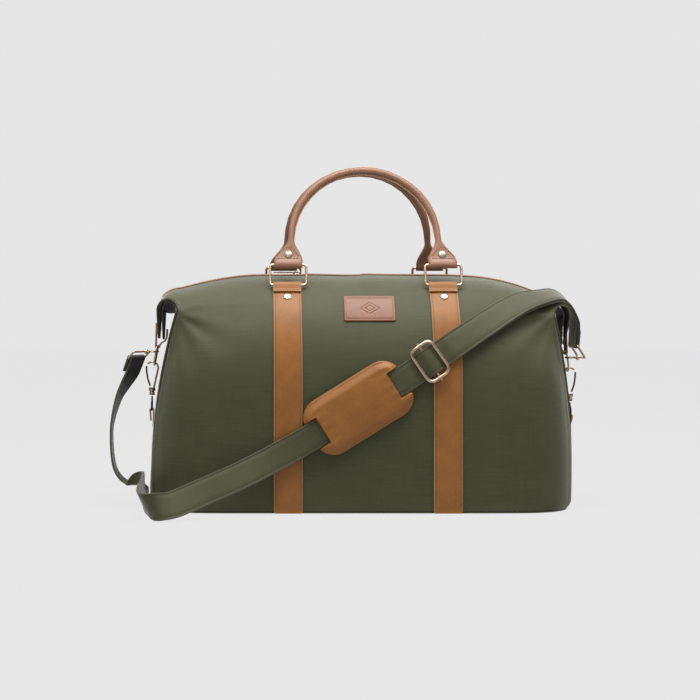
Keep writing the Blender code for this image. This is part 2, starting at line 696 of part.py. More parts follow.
def wing_hardware(side, sname):
    shift = WING_SHIFT[side]
    thick = 0.0018
    eye = LINK_R + BAR_CLEAR + thick / 2
    tab = [(0.2716, 0.2380), (0.2716, 0.2300), (0.2718, 0.2220), (0.2722, 0.2140)]
    tab += arc_points(TAB_BAR, eye, 20, -200, 8)
    tab += [(0.2646, 0.2120), (0.2604, 0.2140), (0.2582, 0.2180), (0.2575, 0.2240), (0.2573, 0.2300)]
    side_band("wing_tab_" + sname, side, tab, 0.018, thick, shift)

    half, corner = 0.0145, 0.006
    foot = TAB_BAR[1] - RING_FOOT[1]
    flat = [(half - corner, 0)]
    flat += [(half - corner + corner * math.sin(math.radians(a)),
              corner - corner * math.cos(math.radians(a))) for a in (30, 60, 90)]
    flat += [(half * math.cos(math.radians(a)), foot - half + half * math.sin(math.radians(a)))
             for a in range(0, 91, 15)]
    outline = flat + [(-y, down) for y, down in reversed(flat[:-1])]
    slope = (RING_FOOT[0] - TAB_BAR[0]) / foot
    points = [(side * (TAB_BAR[0] + slope * down), y, TAB_BAR[1] + shift - down) for y, down in outline]
    wire("wing_ring_" + sname, points, LINK_R, "metal", cyclic=True)

    neck = (HOOK_BASE[0], HOOK_BASE[1] + 0.002)
    wall = arc_points(HOOK_EYE, EYE_R, -20, 200, 14)
    nose_turn = 4
    body = [(neck[0] - 0.0022, neck[1])] + wall[::-1][:len(wall) - nose_turn]
    hook = wire("side_hook_" + sname, [(side * x, 0, z + shift) for x, z in body], LINK_R, "metal")
    barrel = lathe("side_hook_base_" + sname, [(0.0026, -0.0068), (0.0036, -0.0064), (0.0036, -0.0024),
                                               (0.0046, 0.0), (0.0042, 0.0032), (0.0030, 0.0036)],
                   (side * HOOK_BASE[0], 0, HOOK_BASE[1] + shift), (0, 0, 1), "metal")
    union(to_mesh_object(hook), barrel)

    gate_foot = (neck[0] + 0.0024, neck[1] + 0.0036)
    gate_top = arc_points(HOOK_EYE, EYE_R, -20 + 220 * (nose_turn - 1.6) / 14, 90, 1)[0]
    gate = [gate_foot, (gate_foot[0] + 0.0035, gate_foot[1] + 0.0100), wall[0], gate_top]
    wire("side_gate_" + sname, [(side * x, 0, z + shift) for x, z in gate], LINK_R * 0.9, "metal")

    half = 0.0065
    loop = [(-0.0018, LOOP_TOP[1] + 0.0050), (-0.0018, LOOP_TOP[1] + 0.001), (-half, LOOP_TOP[1] - 0.0015),
            (-half, LOOP_FOOT[1] + 0.0015), (-half + 0.0015, LOOP_FOOT[1]), (half - 0.0015, LOOP_FOOT[1]),
            (half, LOOP_FOOT[1] + 0.0015), (half, LOOP_TOP[1] - 0.0015), (0.0018, LOOP_TOP[1] + 0.001),
            (0.0018, LOOP_TOP[1] + 0.0050)]
    drop = LOOP_TOP[1] - LOOP_FOOT[1]
    points = [(side * (LOOP_FOOT[0] + (LOOP_TOP[0] - LOOP_FOOT[0]) * (z - LOOP_FOOT[1]) / drop), y, z + shift)
              for y, z in loop]
    wire("side_loop_" + sname, points, LINK_R * 0.85, "metal_dark", cyclic=True)

    eye = LINK_R * 0.85 + BAR_CLEAR + thick / 2
    low = gusset_mid(side, 0.100 + shift) + thick / 2 + GAP
    inner_x = LOOP_FOOT[0] - eye
    tab = [(low, 0.1000), ((low + inner_x) / 2, 0.1085), (inner_x, 0.1180)]
    tab += arc_points(LOOP_FOOT, eye, 200, -20, 8)
    tab += [(inner_x + 0.0042, 0.1180), ((low + inner_x) / 2 + 0.0036, 0.1085)]
    side_band("side_tab_" + sname, side, tab, 0.010, thick, shift)


def to_mesh_object(obj):
    """Turn a wire curve into a mesh so that modifiers can join it to other shapes."""
    mesh = bpy.data.meshes.new_from_object(obj.evaluated_get(bpy.context.evaluated_depsgraph_get()))
    name, finish = obj.name, list(obj.data.materials)
    bpy.data.objects.remove(obj, do_unlink=True)
    made = new_object(name, mesh)
    mesh.materials.clear()
    for slot in finish:
        mesh.materials.append(slot)
    return made


def union(obj, other):
    """Join another closed shape to the object."""
    other.hide_render = True
    other.display_type = "WIRE"
    added = obj.modifiers.new("with_" + other.name, "BOOLEAN")
    added.operation = "UNION"
    added.object = other


# ---------------------------------------------------------------- shoulder strap
CLASP = (0.2755, -0.0165, 0.2005)   # middle of the clasp round a wing ring
CLASP_R = 0.0072
KNOB = 0.0035                       # length of the clasp's swivel knob
LOOP_NEAR = CLASP[0] + CLASP_R + KNOB + 0.0036
LOOP_AWAY = {-1: (0.0089, -0.0084), 1: (-0.0104, 0.0165)}   # near bar to far bar of the strap loop
LOOP_TURN = {-1: math.radians(-28), 1: 0.0}    # the loops' turn about the vertical
WRAP_R = LINK_R + BAR_CLEAR + WEB_T / 2
SLIDER_HALF = (0.0233, 0.0155)      # across and along the strap, wire centres
SLIDER_CORNER = 0.0080
SLIDER_R = 0.0018
SLIDER_BAR_R = 0.0017
SLIDER_BAR = 0.0275                 # half length of the bar
SLIDER_LIFT = 0.0020

# Each point is a place on the strap's middle line and the direction of its upper edge.
ROUTE = [
    ((-0.3030, -0.0090, 0.1720), (-0.469, -0.883, 0)),
    ((-0.3125, -0.0120, 0.1560), (-0.34, -0.94, 0)),
    ((-0.3210, -0.0150, 0.1380), (-0.15, -0.99, 0.05)),
    ((-0.3290, -0.0170, 0.1050), (0, -1, 0.1)),
    ((-0.3293, -0.0170, 0.0740), (0, -1, 0)),
    ((-0.3255, -0.0170, 0.0480), (0, -1, 0)),
    ((-0.3170, -0.0180, 0.0340), (0, -1, 0)),
    ((-0.3060, -0.0200, 0.0275), (0, -1, 0)),
    ((-0.2975, -0.0240, 0.0262), (0, -1, 0.10)),
    ((-0.2890, -0.0360, 0.0280), (0.15, -0.75, 0.63)),
    ((-0.2845, -0.0560, 0.0288), (0, -0.20, 0.97)),
    ((-0.2832, -0.0820, 0.0284), (-0.05, 0.00, 1.00)),
    ((-0.2825, -0.1110, 0.0270), (-0.08, 0.00, 0.99)),
    ((-0.2818, -0.1400, 0.0250), (-0.18, 0.00, 0.98)),
    ((-0.2803, -0.1650, 0.0225), (-0.33, 0.00, 0.94)),
    ((-0.2770, -0.1830, 0.0202), (-0.46, 0.00, 0.88)),
    ((-0.2700, -0.1925, 0.0186), (-0.50, -0.05, 0.86)),
    ((-0.2590, -0.1960, 0.0182), (-0.48, 0.10, 0.87)),
    ((-0.2450, -0.1920, 0.0192), (-0.38, 0.25, 0.88)),
    ((-0.2320, -0.1835, 0.0226), (-0.28, 0.33, 0.90)),
    ((-0.2030, -0.166, 0.0335), (-0.25, 0.25, 0.92)),
    ((-0.1550, -0.148, 0.0530), (-0.35, 0.2, 0.9)),
    ((-0.1180, -0.136, 0.0710), (-0.42, 0.1, 0.9)),
    ((-0.0880, -0.1295, 0.0868), (-0.5, 0.0, 0.86)),
    ((-0.0564, -0.1280, 0.1054), (-0.53, 0.0, 0.85)),
    ((-0.0127, -0.1278, 0.1327), (-0.53, 0.0, 0.85)),
    ((0.0310, -0.1276, 0.1600), (-0.53, 0.0, 0.85)),
    ((0.0764, -0.1262, 0.1905), (-0.53, 0.06, 0.84)),
    ((0.1140, -0.1205, 0.2160), (-0.52, 0.22, 0.82)),
    ((0.1500, -0.1100, 0.2390), (-0.50, 0.40, 0.77)),
    ((0.1930, -0.0900, 0.2635), (-0.40, 0.62, 0.67)),
    ((0.2300, -0.0690, 0.2735), (-0.15, 0.88, 0.44)),
    ((0.2515, -0.0500, 0.2745), (0.10, 0.97, 0.22)),
    ((0.2695, -0.0310, 0.2635), (0.10, 0.99, 0.10)),
    ((0.2805, -0.0200, 0.2440), (0, 1, 0)),
    ((0.2835, -0.0165, 0.2270), (0, 1, 0)),
]
SLIDER_AT = 27                      # the slider sits on this point of the route
PAD_AT = 25                         # and the pad's middle on this one
STEPS = 3


def far_bar(side):
    """Where the strap wraps its end loop (x, z), on the side given."""
    away = LOOP_AWAY[side]
    return side * (LOOP_NEAR + away[0]), CLASP[2] + WING_SHIFT[side] + away[1]


def turned(side, place):
    """Turn a place with an end loop, about the vertical through its near bar's middle."""
    c, s = math.cos(LOOP_TURN[side]), math.sin(LOOP_TURN[side])
    dx, dy = place[0] - side * LOOP_NEAR, place[1] - CLASP[1]
    return Vector((side * LOOP_NEAR + c * dx - s * dy, CLASP[1] + s * dx + c * dy, place[2]))


def strap_lines():
    """Middle, edge direction and face normal at each step of the route."""
    middle = catmull([p for p, _ in ROUTE], STEPS)
    edge = catmull([w for _, w in ROUTE], STEPS)
    normals = []
    for i in range(len(middle)):
        ahead = (middle[min(i + 1, len(middle) - 1)] - middle[max(i - 1, 0)]).normalized()
        across = (edge[i] - ahead * edge[i].dot(ahead)).normalized()
        edge[i] = across
        normals.append(ahead.cross(across))
    return middle, edge, normals


def strap_hump(gap):
    """Lift of the strap where it climbs over the slider's bar, gap metres away from it."""
    if abs(gap) > 0.034:
        return 0.0
    return 0.0038 * smooth_step(1 - abs(gap) / 0.014) - 0.0020 * smooth_step(2.4 - abs(gap) / 0.014)


def shoulder_strap():
    middle, edge, normals = strap_lines()
    slider = middle[SLIDER_AT * STEPS]
    fine = []
    for i, here in enumerate(middle):
        fine.append((here, edge[i], normals[i]))
        near = abs(i - SLIDER_AT * STEPS + 0.5) < 2.6 and i + 1 < len(middle)
        for k in (range(1, 5) if near else ()):
            t = k / 5
            fine.append((here.lerp(middle[i + 1], t), edge[i].lerp(edge[i + 1], t),
                         normals[i].lerp(normals[i + 1], t)))
    main = [(p + n * strap_hump((p - slider).length), w) for p, w, n in fine]
    bar_x, bar_z = far_bar(-1)
    y = CLASP[1]
    left_edge, right_edge = Vector((math.sin(LOOP_TURN[-1]), -math.cos(LOOP_TURN[-1]), 0)), Vector((0, 1, 0))
    head = [(turned(-1, (x, y, z)), left_edge) for x, z in ((-0.3085, 0.1750), (-0.3050, 0.1840))]
    for k in range(9):
        turn = math.radians(165 - 195 * k / 8)
        spot = (bar_x + WRAP_R * math.cos(turn), y, bar_z + WRAP_R * math.sin(turn))
        head.append((turned(-1, spot), left_edge))
    bar_x, bar_z = far_bar(1)
    y = middle[-1].y
    tail = []
    for k in range(9):
        turn = math.radians(10 - 200 * k / 8)
        tail.append((Vector((bar_x + WRAP_R * math.cos(turn), y, bar_z + WRAP_R * math.sin(turn))),
                     right_edge))
    back = []
    last = len(middle) - 1
    for i in range(last, SLIDER_AT * STEPS, -1):
        near = smooth_step((last - i) / 5)
        lift = (WEB_T + 0.0004) + (2 * WRAP_R - WEB_T - 0.0004) * (1 - near)
        lift += 0.0020 * smooth_step(2.4 - (middle[i] - slider).length / 0.014)
        back.append((middle[i] - normals[i] * lift, edge[i]))
    whole = head + main + tail + back
    band("shoulder_strap", [p for p, _ in whole], lambda i: whole[i][1], WEB_W, WEB_T, "webbing")


def strap_frame_at(index):
    middle, edge, normals = strap_lines()
    at = index * STEPS
    across, up = edge[at], normals[at]
    return middle[at], across.cross(up), across, up


def slider():
    """A wire frame over the strap and a bar under it."""
    here, along, across, up = strap_frame_at(SLIDER_AT)
    half_a, half_l, corner = SLIDER_HALF[0], SLIDER_HALF[1], SLIDER_CORNER
    points = []
    for ca, cl, start in ((half_a, half_l, 0), (-half_a, half_l, 90), (-half_a, -half_l, 180),
                          (half_a, -half_l, 270)):
        for k in range(4):
            turn = math.radians(start + 30 * k)
            a = ca - math.copysign(corner, ca) + corner * math.cos(turn)
            c = cl - math.copysign(corner, cl) + corner * math.sin(turn)
            points.append(here + across * a + along * c + up * SLIDER_LIFT)
    wire("slider_frame", points, SLIDER_R, "metal", cyclic=True)
    low = SLIDER_LIFT - SLIDER_R - SLIDER_BAR_R - GAP
    bar = [here + across * a + up * low for a in (-SLIDER_BAR, SLIDER_BAR)]
    wire("slider_bar", bar, SLIDER_BAR_R, "metal")


def pad():
    """Leather pad: a back under the strap and a cover over it."""
    here, along, across, up = strap_frame_at(PAD_AT)
    half_l, half_a, corner = 0.069, 0.0375, 0.026
    outline = []
    for cl, ca, start in ((half_l, half_a, 0), (-half_l, half_a, 90), (-half_l, -half_a, 180),
                          (half_l, -half_a, 270)):
        for k in range(5):
            turn = math.radians(start + 22.5 * k)
            outline.append((cl - math.copysign(corner, cl) + corner * math.cos(turn),
                            ca - math.copysign(corner, ca) + corner * math.sin(turn)))
    rings = [[here + along * a + across * b + up * lift for a, b in outline]
             for lift in (-0.0050, -0.0021)]
    loft("shoulder_pad", rings, "leather", smooth=False)

    def surface(u, v):
        a, b = (2 * u - 1) * 0.0515, (2 * v - 1) * half_a
        rise = smooth_step((0.0290 - abs(b)) / 0.0100)
        return here + along * a + across * b + up * (0.0010 + 0.0029 * rise)
    shell("pad_cover", surface, 4, 16, 0.0022, "leather")


def strap_ends():
    """At each end: a clasp with a sprung gate round the wing ring, and a swivelling loop."""
    for side, sname in ((-1, "left"), (1, "right")):
        x, y, z = side * CLASP[0], CLASP[1], CLASP[2] + WING_SHIFT[side]

        def claw(start, stop, count):
            return [(x + side * px, y + py, z) for px, py in arc_points((0, 0), CLASP_R, start, stop, count)]
        body = to_mesh_object(wire("strap_clasp_" + sname, claw(-60, 200, 14), 0.0012, "metal"))
        profile = [(0.0016, -0.0012), (0.0030, 0.0004), (0.0032, KNOB), (0.0020, KNOB + 0.0003)]
        knob = lathe("knob_" + sname, profile, (x + side * CLASP_R, y, z), (side, 0, 0), "metal_dark", steps=12)
        union(body, knob)
        wire("strap_gate_" + sname, claw(210, 290, 6), 0.0011, "metal")
        away = LOOP_AWAY[side]
        half, corner = 0.0205, 0.0030
        size = math.hypot(*away)
        outline = []
        for cy, cd, start in ((half, size, 0), (-half, size, 90), (-half, 0, 180), (half, 0, 270)):
            for k in range(4):
                turn = math.radians(start + 30 * k)
                across = cy - math.copysign(corner, cy) + corner * math.cos(turn)
                down = cd + (corner if cd == 0 else -corner) + corner * math.sin(turn)
                outline.append((across, down / size))
        points = [turned(side, (side * (LOOP_NEAR + away[0] * d), y + a, z + away[1] * d))
                  for a, d in outline]
        wire("strap_loop_" + sname, points, LINK_R, "metal", cyclic=True)


def build():
    panels()
    gussets()
    base_parts()
    zip_parts()
    straps_and_rings()
    handles()
    label()
    for side, sname in ((-1, "left"), (1, "right")):
        wing_hardware(side, sname)
    shoulder_strap()
    slider()
    pad()
    strap_ends()


build()
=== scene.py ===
"""Looks of the canvas weekender bag: canvas, leather, webbing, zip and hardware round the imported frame.

Metres, +Z up, the front faces -Y. The bag's form repeats the rules of its design, with finer steps.
"""
import json
import math

import bmesh
import bpy
import numpy as np
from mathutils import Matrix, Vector, noise

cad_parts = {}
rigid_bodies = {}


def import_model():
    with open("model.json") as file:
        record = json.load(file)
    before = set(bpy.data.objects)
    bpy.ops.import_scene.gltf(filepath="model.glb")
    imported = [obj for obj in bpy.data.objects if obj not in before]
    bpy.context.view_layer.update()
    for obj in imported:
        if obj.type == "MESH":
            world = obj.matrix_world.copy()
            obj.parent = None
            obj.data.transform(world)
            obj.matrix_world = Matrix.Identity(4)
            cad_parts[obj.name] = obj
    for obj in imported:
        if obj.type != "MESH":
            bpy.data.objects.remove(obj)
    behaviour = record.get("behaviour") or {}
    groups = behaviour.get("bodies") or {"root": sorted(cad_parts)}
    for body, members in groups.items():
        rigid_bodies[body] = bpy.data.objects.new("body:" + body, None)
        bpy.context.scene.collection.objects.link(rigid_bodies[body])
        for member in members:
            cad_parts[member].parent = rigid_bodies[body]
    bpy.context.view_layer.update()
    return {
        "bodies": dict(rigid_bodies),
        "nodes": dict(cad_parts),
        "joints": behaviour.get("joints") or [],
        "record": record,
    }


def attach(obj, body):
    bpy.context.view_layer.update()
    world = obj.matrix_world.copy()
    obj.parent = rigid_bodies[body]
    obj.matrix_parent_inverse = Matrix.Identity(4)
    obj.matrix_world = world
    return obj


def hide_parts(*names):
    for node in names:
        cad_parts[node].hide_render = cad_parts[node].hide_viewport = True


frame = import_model()

# ---------------------------------------------------------------- camera
CAMERA_AT = (-0.154, -2.020, 0.246)
LENS_MM = 78.17
camera = bpy.data.objects.new("camera", bpy.data.cameras.new("camera"))
bpy.context.scene.collection.objects.link(camera)
camera.location = CAMERA_AT
camera.rotation_euler = (math.pi / 2, 0, 0)
camera.data.sensor_width = 36
camera.data.lens = LENS_MM
camera.data.shift_x = 0.150
camera.data.shift_y = -0.0471
bpy.context.scene.camera = camera


# ---------------------------------------------------------------- the bag's form, as designed
HALF_DEPTH = 0.120          # front or back face from the middle
HEIGHT = 0.3015             # zip ridge
SHOULDER_Z = 0.140          # the faces are upright below this height
SHOULDER_POWER = 2.3        # superellipse power of the shoulder
SEAM_Y = 0.085              # side seams from the middle
GUSSET_X = {-1: 0.2790, 1: 0.2715}     # middle of a gusset at the base, by side
GUSSET_TOP = 0.2440         # and up at the fold
GUSSET_BOW = {-1: 0.0055, 1: 0.0105}   # how far its middle stands out of the seams at the base
FOLD_X = 0.2395             # where the zip end starts to fold down
FOLD_Z = 0.2535             # axis of that fold
FLAP_X = 0.0300             # fold axis to the outside of the hanging flap
FLAP_DROP = 0.036           # fold axis to the flap's tip
RIDGE_FLAT = 0.130          # the ridge is level this far from the middle
RIDGE_DROP = {-1: 0.0175, 1: 0.0255}   # how far it has dropped at the fold, by side
WING_SHIFT = {-1: 0.0, 1: -0.008}      # the right wing hangs lower
POCKET = (0.0190, 0.0035)   # the gusset's fold under a wing: how far it reaches out, and its sag
CORNER_R = 0.014            # the lower corners are rounded as seen from the front
CANVAS = 0.0022
LEATHER = 0.0024
GAP = 0.0003
BASE_THICK = 0.003
TRIM_W = 0.009              # leather strips beside the zip
TRIM_T = 0.0014
STRAP_X = 0.100             # leather strap centres
STRAP_W = 0.036
RING_PLAY = {-1: 0.0016, 1: -0.0016}     # the rings sit off the straps' middle, front and back
BAR_R = 0.0017              # wire of the rectangular rings
BAR_CLEAR = 0.0004
RING_W = 0.0466             # wire centre to wire centre
RING_H = 0.0285
LOOP_ARC = 0.0685           # ring bar from the ridge, along the section
FOLD_BACK = 0.0125          # the strap end folded back over its own front
HANDLE_R = 0.0052
HANDLE_TAPER = 0.70         # the legs are this much slimmer than the grip
HANDLE_SPAN = 0.0958        # half width at the neck
HANDLE_NECK = 0.0368        # ring bar to neck
HANDLE_RISE = 0.0995        # neck to the top of the arc
FOOT_W = 0.0375
RIVET_UP = 0.0134
LINK_R = 0.0013             # wire of the small hooks and rings
WEB_W = 0.034               # shoulder strap
WEB_T = 0.0024
SIDES = ((-1, "left"), (1, "right"))
FACES = ((-1, "front"), (1, "back"))


def smooth_step(value):
    value = min(max(value, 0.0), 1.0)
    return value * value * (3.0 - 2.0 * value)


def catmull(points, steps):
    """A smooth curve through the points."""
    pts = [Vector(p) for p in points]
    ends = [pts[0] * 2 - pts[1]] + pts + [pts[-1] * 2 - pts[-2]]
    made = []
    for i in range(1, len(ends) - 2):
        a, b, c, d = ends[i - 1:i + 3]
        for k in range(steps):
            t = k / steps
            made.append(0.5 * ((2 * b) + (c - a) * t + (2 * a - 5 * b + 4 * c - d) * t * t
                               + (3 * b - a - 3 * c + d) * t ** 3))
    made.append(pts[-1])
    return made


def ridge_z(x):
    """Height of the zip ridge before the fold."""
    side = 1 if x > 0 else -1
    out = max(0.0, abs(x) - RIDGE_FLAT) / (FOLD_X - RIDGE_FLAT)
    return HEIGHT - RIDGE_DROP[side] * out ** 2.3


def section(x, arc):
    """Point (depth, height) of the face at x: arc 0 is the base and 1 the ridge."""
    top = ridge_z(x)
    upright = (SHOULDER_Z - BASE_THICK) / (SHOULDER_Z - BASE_THICK + 0.222)
    if arc < upright:
        return HALF_DEPTH, BASE_THICK + GAP + (SHOULDER_Z - BASE_THICK - GAP) * arc / upright
    turn = (arc - upright) / (1 - upright) * math.pi / 2
    power = 2 / SHOULDER_POWER
    depth = HALF_DEPTH * max(math.cos(turn), 0.0) ** power
    return depth, SHOULDER_Z + (top - SHOULDER_Z) * math.sin(turn) ** power


def section_line(x, count=160):
    """The face's section at x as even steps, from the base to the ridge."""
    raw = np.array([section(x, i / 600) for i in range(601)])
    run = np.concatenate([[0], np.cumsum(np.hypot(*np.diff(raw, axis=0).T))])
    even = np.linspace(0, run[-1], count)
    return even, np.interp(even, run, raw[:, 0]), np.interp(even, run, raw[:, 1])


def on_line(line, at, step):
    """Depth and height at a distance along a section line, and the outward unit normal there."""
    run, depth, height = line
    y, z = (float(np.interp(at, run, values)) for values in (depth, height))
    dy, dz = (float(np.interp(at + step, run, values) - np.interp(at - step, run, values))
              for values in (depth, height))
    size = math.hypot(dy, dz)
    return y, z, dz / size, -dy / size


def gusset_mid(side, z):
    """Middle of a gusset's outside at height z."""
    low = max(1 - max(z, 0.0) / CORNER_R, 0.0)
    tuck = CORNER_R * (1 - math.sqrt(1 - low ** 2))
    return GUSSET_X[side] - (GUSSET_X[side] - GUSSET_TOP) * (max(z, 0.0) / 0.25) ** 2.2 - tuck


def seam_x(side, z):
    return gusset_mid(side, z) - GUSSET_BOW[side] * (1 - min(z / 0.25, 1.0)) - 0.0005


FOLD_ARC = FLAP_X * math.pi / 2
WING_RUN = FOLD_ARC + FLAP_DROP


def fold_over(side, run, depth, lift):
    """A point of the wing: run past the fold line, lift above the fold's axis."""
    angle = min(max(run, 0.0) / FLAP_X, math.pi / 2)
    past = max(run - FOLD_ARC, 0.0)
    x = FOLD_X + min(run, 0.0) + lift * math.sin(angle)
    z = FOLD_Z + WING_SHIFT[side] + lift * math.cos(angle) - past
    return Vector((side * x, depth, z))


ROWS = section_line(0.0)
TOP_EDGE = 0.0075           # the panels stop this far from the middle, at the zip
TOP_ROW = 1 - TOP_EDGE / float(ROWS[0][-1])
SEAM_STEP = 0.0030          # the gusset stands this far outside the panel's edge, high up


def panel_row(v):
    """Depth and height of row v of a panel at the middle of the bag, even along the section."""
    run, depth, height = ROWS
    at = v * TOP_ROW * run[-1]
    return float(np.interp(at, run, depth)), float(np.interp(at, run, height))


def row_at(z):
    """The panel row that is z high at the middle of the bag."""
    run, _, height = ROWS
    return float(np.interp(z, height, run)) / run[-1] / TOP_ROW


SEAM_BREAK = row_at(FOLD_Z)  # above this row the side seam turns out under the wing


def wing_stage(v):
    """How far row v is along the wing: part of the way, run past the fold, angle and drop."""
    q = (v - SEAM_BREAK) / (1 - SEAM_BREAK)
    run = WING_RUN * q
    return q, run, min(run / FLAP_X, math.pi / 2), max(run - FOLD_ARC, 0.0)


def seam_row(side, v):
    """Where row v of a panel meets the side seam, unfolded: reach along X, depth, height."""
    if v <= SEAM_BREAK:
        _, height = panel_row(v)
        step = SEAM_STEP * smooth_step((height - 0.05) / 0.15)
        sag = WING_SHIFT[side] * smooth_step((v / SEAM_BREAK - 0.5) * 2)
        return seam_x(side, height) - step, SEAM_Y, height + sag
    q, run, turn, _ = wing_stage(v)
    depth = TOP_EDGE + (SEAM_Y - TOP_EDGE) * (1 - q) ** 0.9
    lift = (FLAP_X - 0.0002) * math.sin(turn) ** 0.8
    return seam_x(side, FOLD_Z) - SEAM_STEP + run, depth, FOLD_Z + WING_SHIFT[side] + lift


def panel_point(u, v, facing):
    """Outside of the front (facing -1) or back (+1) panel. u runs from left to right."""
    side = 1 if u >= 0.5 else -1
    out = abs(2 * u - 1) ** 0.85
    depth, height = panel_row(v)
    reach, seam_depth, seam_z = seam_row(side, v)
    x = out * reach
    bend = out ** (12 - 8 * smooth_step((v - 0.45) / 0.3))
    y = depth + (seam_depth - depth) * bend
    rise = max(height - SHOULDER_Z, 0.0) / (HEIGHT - SHOULDER_Z)
    z = height + (ridge_z(side * min(x, FOLD_X)) - HEIGHT) * rise
    z += (seam_z - z) * bend
    if v > SEAM_BREAK and x > FOLD_X:
        return fold_over(side, x - FOLD_X, facing * y, z - FOLD_Z - WING_SHIFT[side])
    return Vector((side * x, facing * y, z))


def gusset_point(side, s, v):
    """Outside of a gusset: s from -1 at the front seam to 1 at the back, rows as the panels."""
    if v <= SEAM_BREAK:
        _, depth, z = seam_row(side, v)
        _, height = panel_row(v)
        edge = seam_x(side, height) + 0.0003
        x = edge + (gusset_mid(side, height) - edge) * (1 - s ** 2) * (height < 0.25)
        inset = 0.0008 + 0.0027 * smooth_step((height - 0.12) / 0.10)
        return Vector((side * x, (depth - inset) * s, z))
    q, _, turn, past = wing_stage(v)
    start = seam_x(side, FOLD_Z) + 0.0003
    inner, sag = POCKET
    depth = (TOP_EDGE + (SEAM_Y - TOP_EDGE) * (1 - q) ** 0.9) - 0.0035 - 0.0020 * smooth_step(q * 4)
    axis = FOLD_Z + WING_SHIFT[side]
    mid_x = start + inner / 2 * (1 - math.cos(2 * turn))
    mid_z = axis - sag * math.sin(2 * turn) - past
    lift = (FLAP_X - 0.0090) * math.sin(turn) ** 0.8
    edge_x = start + (FOLD_X - start) * smooth_step(q * 4) + lift * math.sin(turn)
    edge_z = axis + lift * math.cos(turn) - past
    share = s ** 2
    x = mid_x + (edge_x - mid_x) * share
    return Vector((side * x, depth * s, mid_z + (edge_z - mid_z) * share))


def base_outline(inset, steps=10):
    """Outline of the bag's bottom, from the panels' lowest row and the gussets' bow."""
    points = []
    for facing in (-1, 1):
        row = []
        for i in range(2 * steps + 1):
            u = i / (2 * steps)
            u = 0.5 + 0.5 * math.copysign(abs(2 * u - 1) ** 0.6, u - 0.5)
            row.append(panel_point(u, 0.0, facing))
        points += row if facing < 0 else row[::-1]
        side = 1 if facing < 0 else -1
        span = [-0.6, 0.0, 0.6] if side > 0 else [0.6, 0.0, -0.6]
        points += [gusset_point(side, s, 0.0) for s in span]
    shrink = []
    for p in points:
        reach = math.hypot(p.x, p.y * 2)
        shrink.append((p.x - inset * p.x / reach, p.y - inset * 2 * p.y / reach))
    return shrink


def ridge_path(reach, steps):
    """Points along the middle of the ridge, from one wing's flap to the other's."""
    made = []
    for i in range(steps + 1):
        run = reach * (2 * i / steps - 1)
        if abs(run) <= FOLD_X:
            made.append(Vector((run, 0, ridge_z(run))))
        else:
            made.append(fold_over(1 if run > 0 else -1, abs(run) - FOLD_X, 0.0, FLAP_X))
    return made


def strap_frame():
    """Where the ring's bar lies along the section at the straps, and a way to stand off that line."""
    line = section_line(STRAP_X)

    def place(along, lift):
        y, z, out, up = on_line(line, along, 0.0015)
        return y + lift * out, z + lift * up
    return float(line[0][-1]) - LOOP_ARC, place


def ring_bar():
    """Depth and height of the rings' lower bars."""
    at, place = strap_frame()
    return place(at, GAP + LEATHER + BAR_CLEAR + BAR_R)


def handle_lean():
    """The handles lean in until their tops almost meet."""
    depth, _ = ring_bar()
    return math.asin((depth - HANDLE_R - 0.0005) / (RING_H + HANDLE_NECK + HANDLE_RISE))


def strap_path():
    """Centre line of a leather strap as (depth, height): up the face, round the bar and back down."""
    at, place = strap_frame()
    low = LEATHER / 2 + GAP
    radius = BAR_R + BAR_CLEAR + LEATHER / 2
    path = [(place(0.0, low)[0], 0.0006)] + [place(at * i / 90, low) for i in range(91)]
    bar = ring_bar()
    foot = place(at, 0.0)
    out = Vector((bar[0] - foot[0], bar[1] - foot[1])).normalized()
    up = Vector((-out.y, out.x))
    for k in range(1, 24):
        turn = math.pi * k / 24
        spot = Vector(bar) - out * radius * math.cos(turn) + up * radius * math.sin(turn)
        path.append((spot.x, spot.y))
    for k in range(20):
        back = FOLD_BACK * k / 19
        settle = smooth_step(back / 0.010)
        lift = (low + 2 * radius) * (1 - settle) + (low + LEATHER + GAP) * settle
        path.append(place(at - back, lift))
    return path


def leaning(x, facing, bar_y, bar_z, lean, across, up, out=0.0):
    """A point in the plane of a leaning ring and handle."""
    depth = bar_y - up * math.sin(lean) + out * math.cos(lean)
    return Vector((x + across, facing * depth, bar_z + up * math.cos(lean) + out * math.sin(lean)))


def handle_profile(up):
    """Half width and half thickness of a handle, from the height above the ring's bar."""
    flare = 1 - smooth_step((up - 0.004) / 0.033)
    slim = HANDLE_R * (HANDLE_TAPER + (1 - HANDLE_TAPER) * smooth_step((up - HANDLE_NECK) / 0.070))
    half_w = slim + (FOOT_W / 2 - slim) * flare
    eye = 0.0047
    flat = 0.0027
    if up < 0.011:
        half_t = eye + (flat - eye) * smooth_step(up / 0.010)
    else:
        half_t = flat + (slim - flat) * smooth_step((up - 0.016) / 0.020)
    if up < 0:
        half_t = math.sqrt(max(eye ** 2 - up ** 2, 0.0009 ** 2))
    return half_w, half_t


def handle_stations():
    """(across, up, direction angle) along a handle, from the left foot to the right foot."""
    foot = [-0.0046, -0.0038, -0.0024, 0.0, 0.004, 0.008, 0.012, 0.016, 0.020, 0.024, 0.029, 0.034]
    left = [(-STRAP_X + (STRAP_X - HANDLE_SPAN) * smooth_step(up / HANDLE_NECK), up) for up in foot]
    arc = []
    for k in range(19):
        turn = math.pi - math.pi * k / 18
        arc.append((HANDLE_SPAN * math.cos(turn), HANDLE_NECK + HANDLE_RISE * math.sin(turn)))
    return left + arc + [(-x, up) for x, up in reversed(left)]


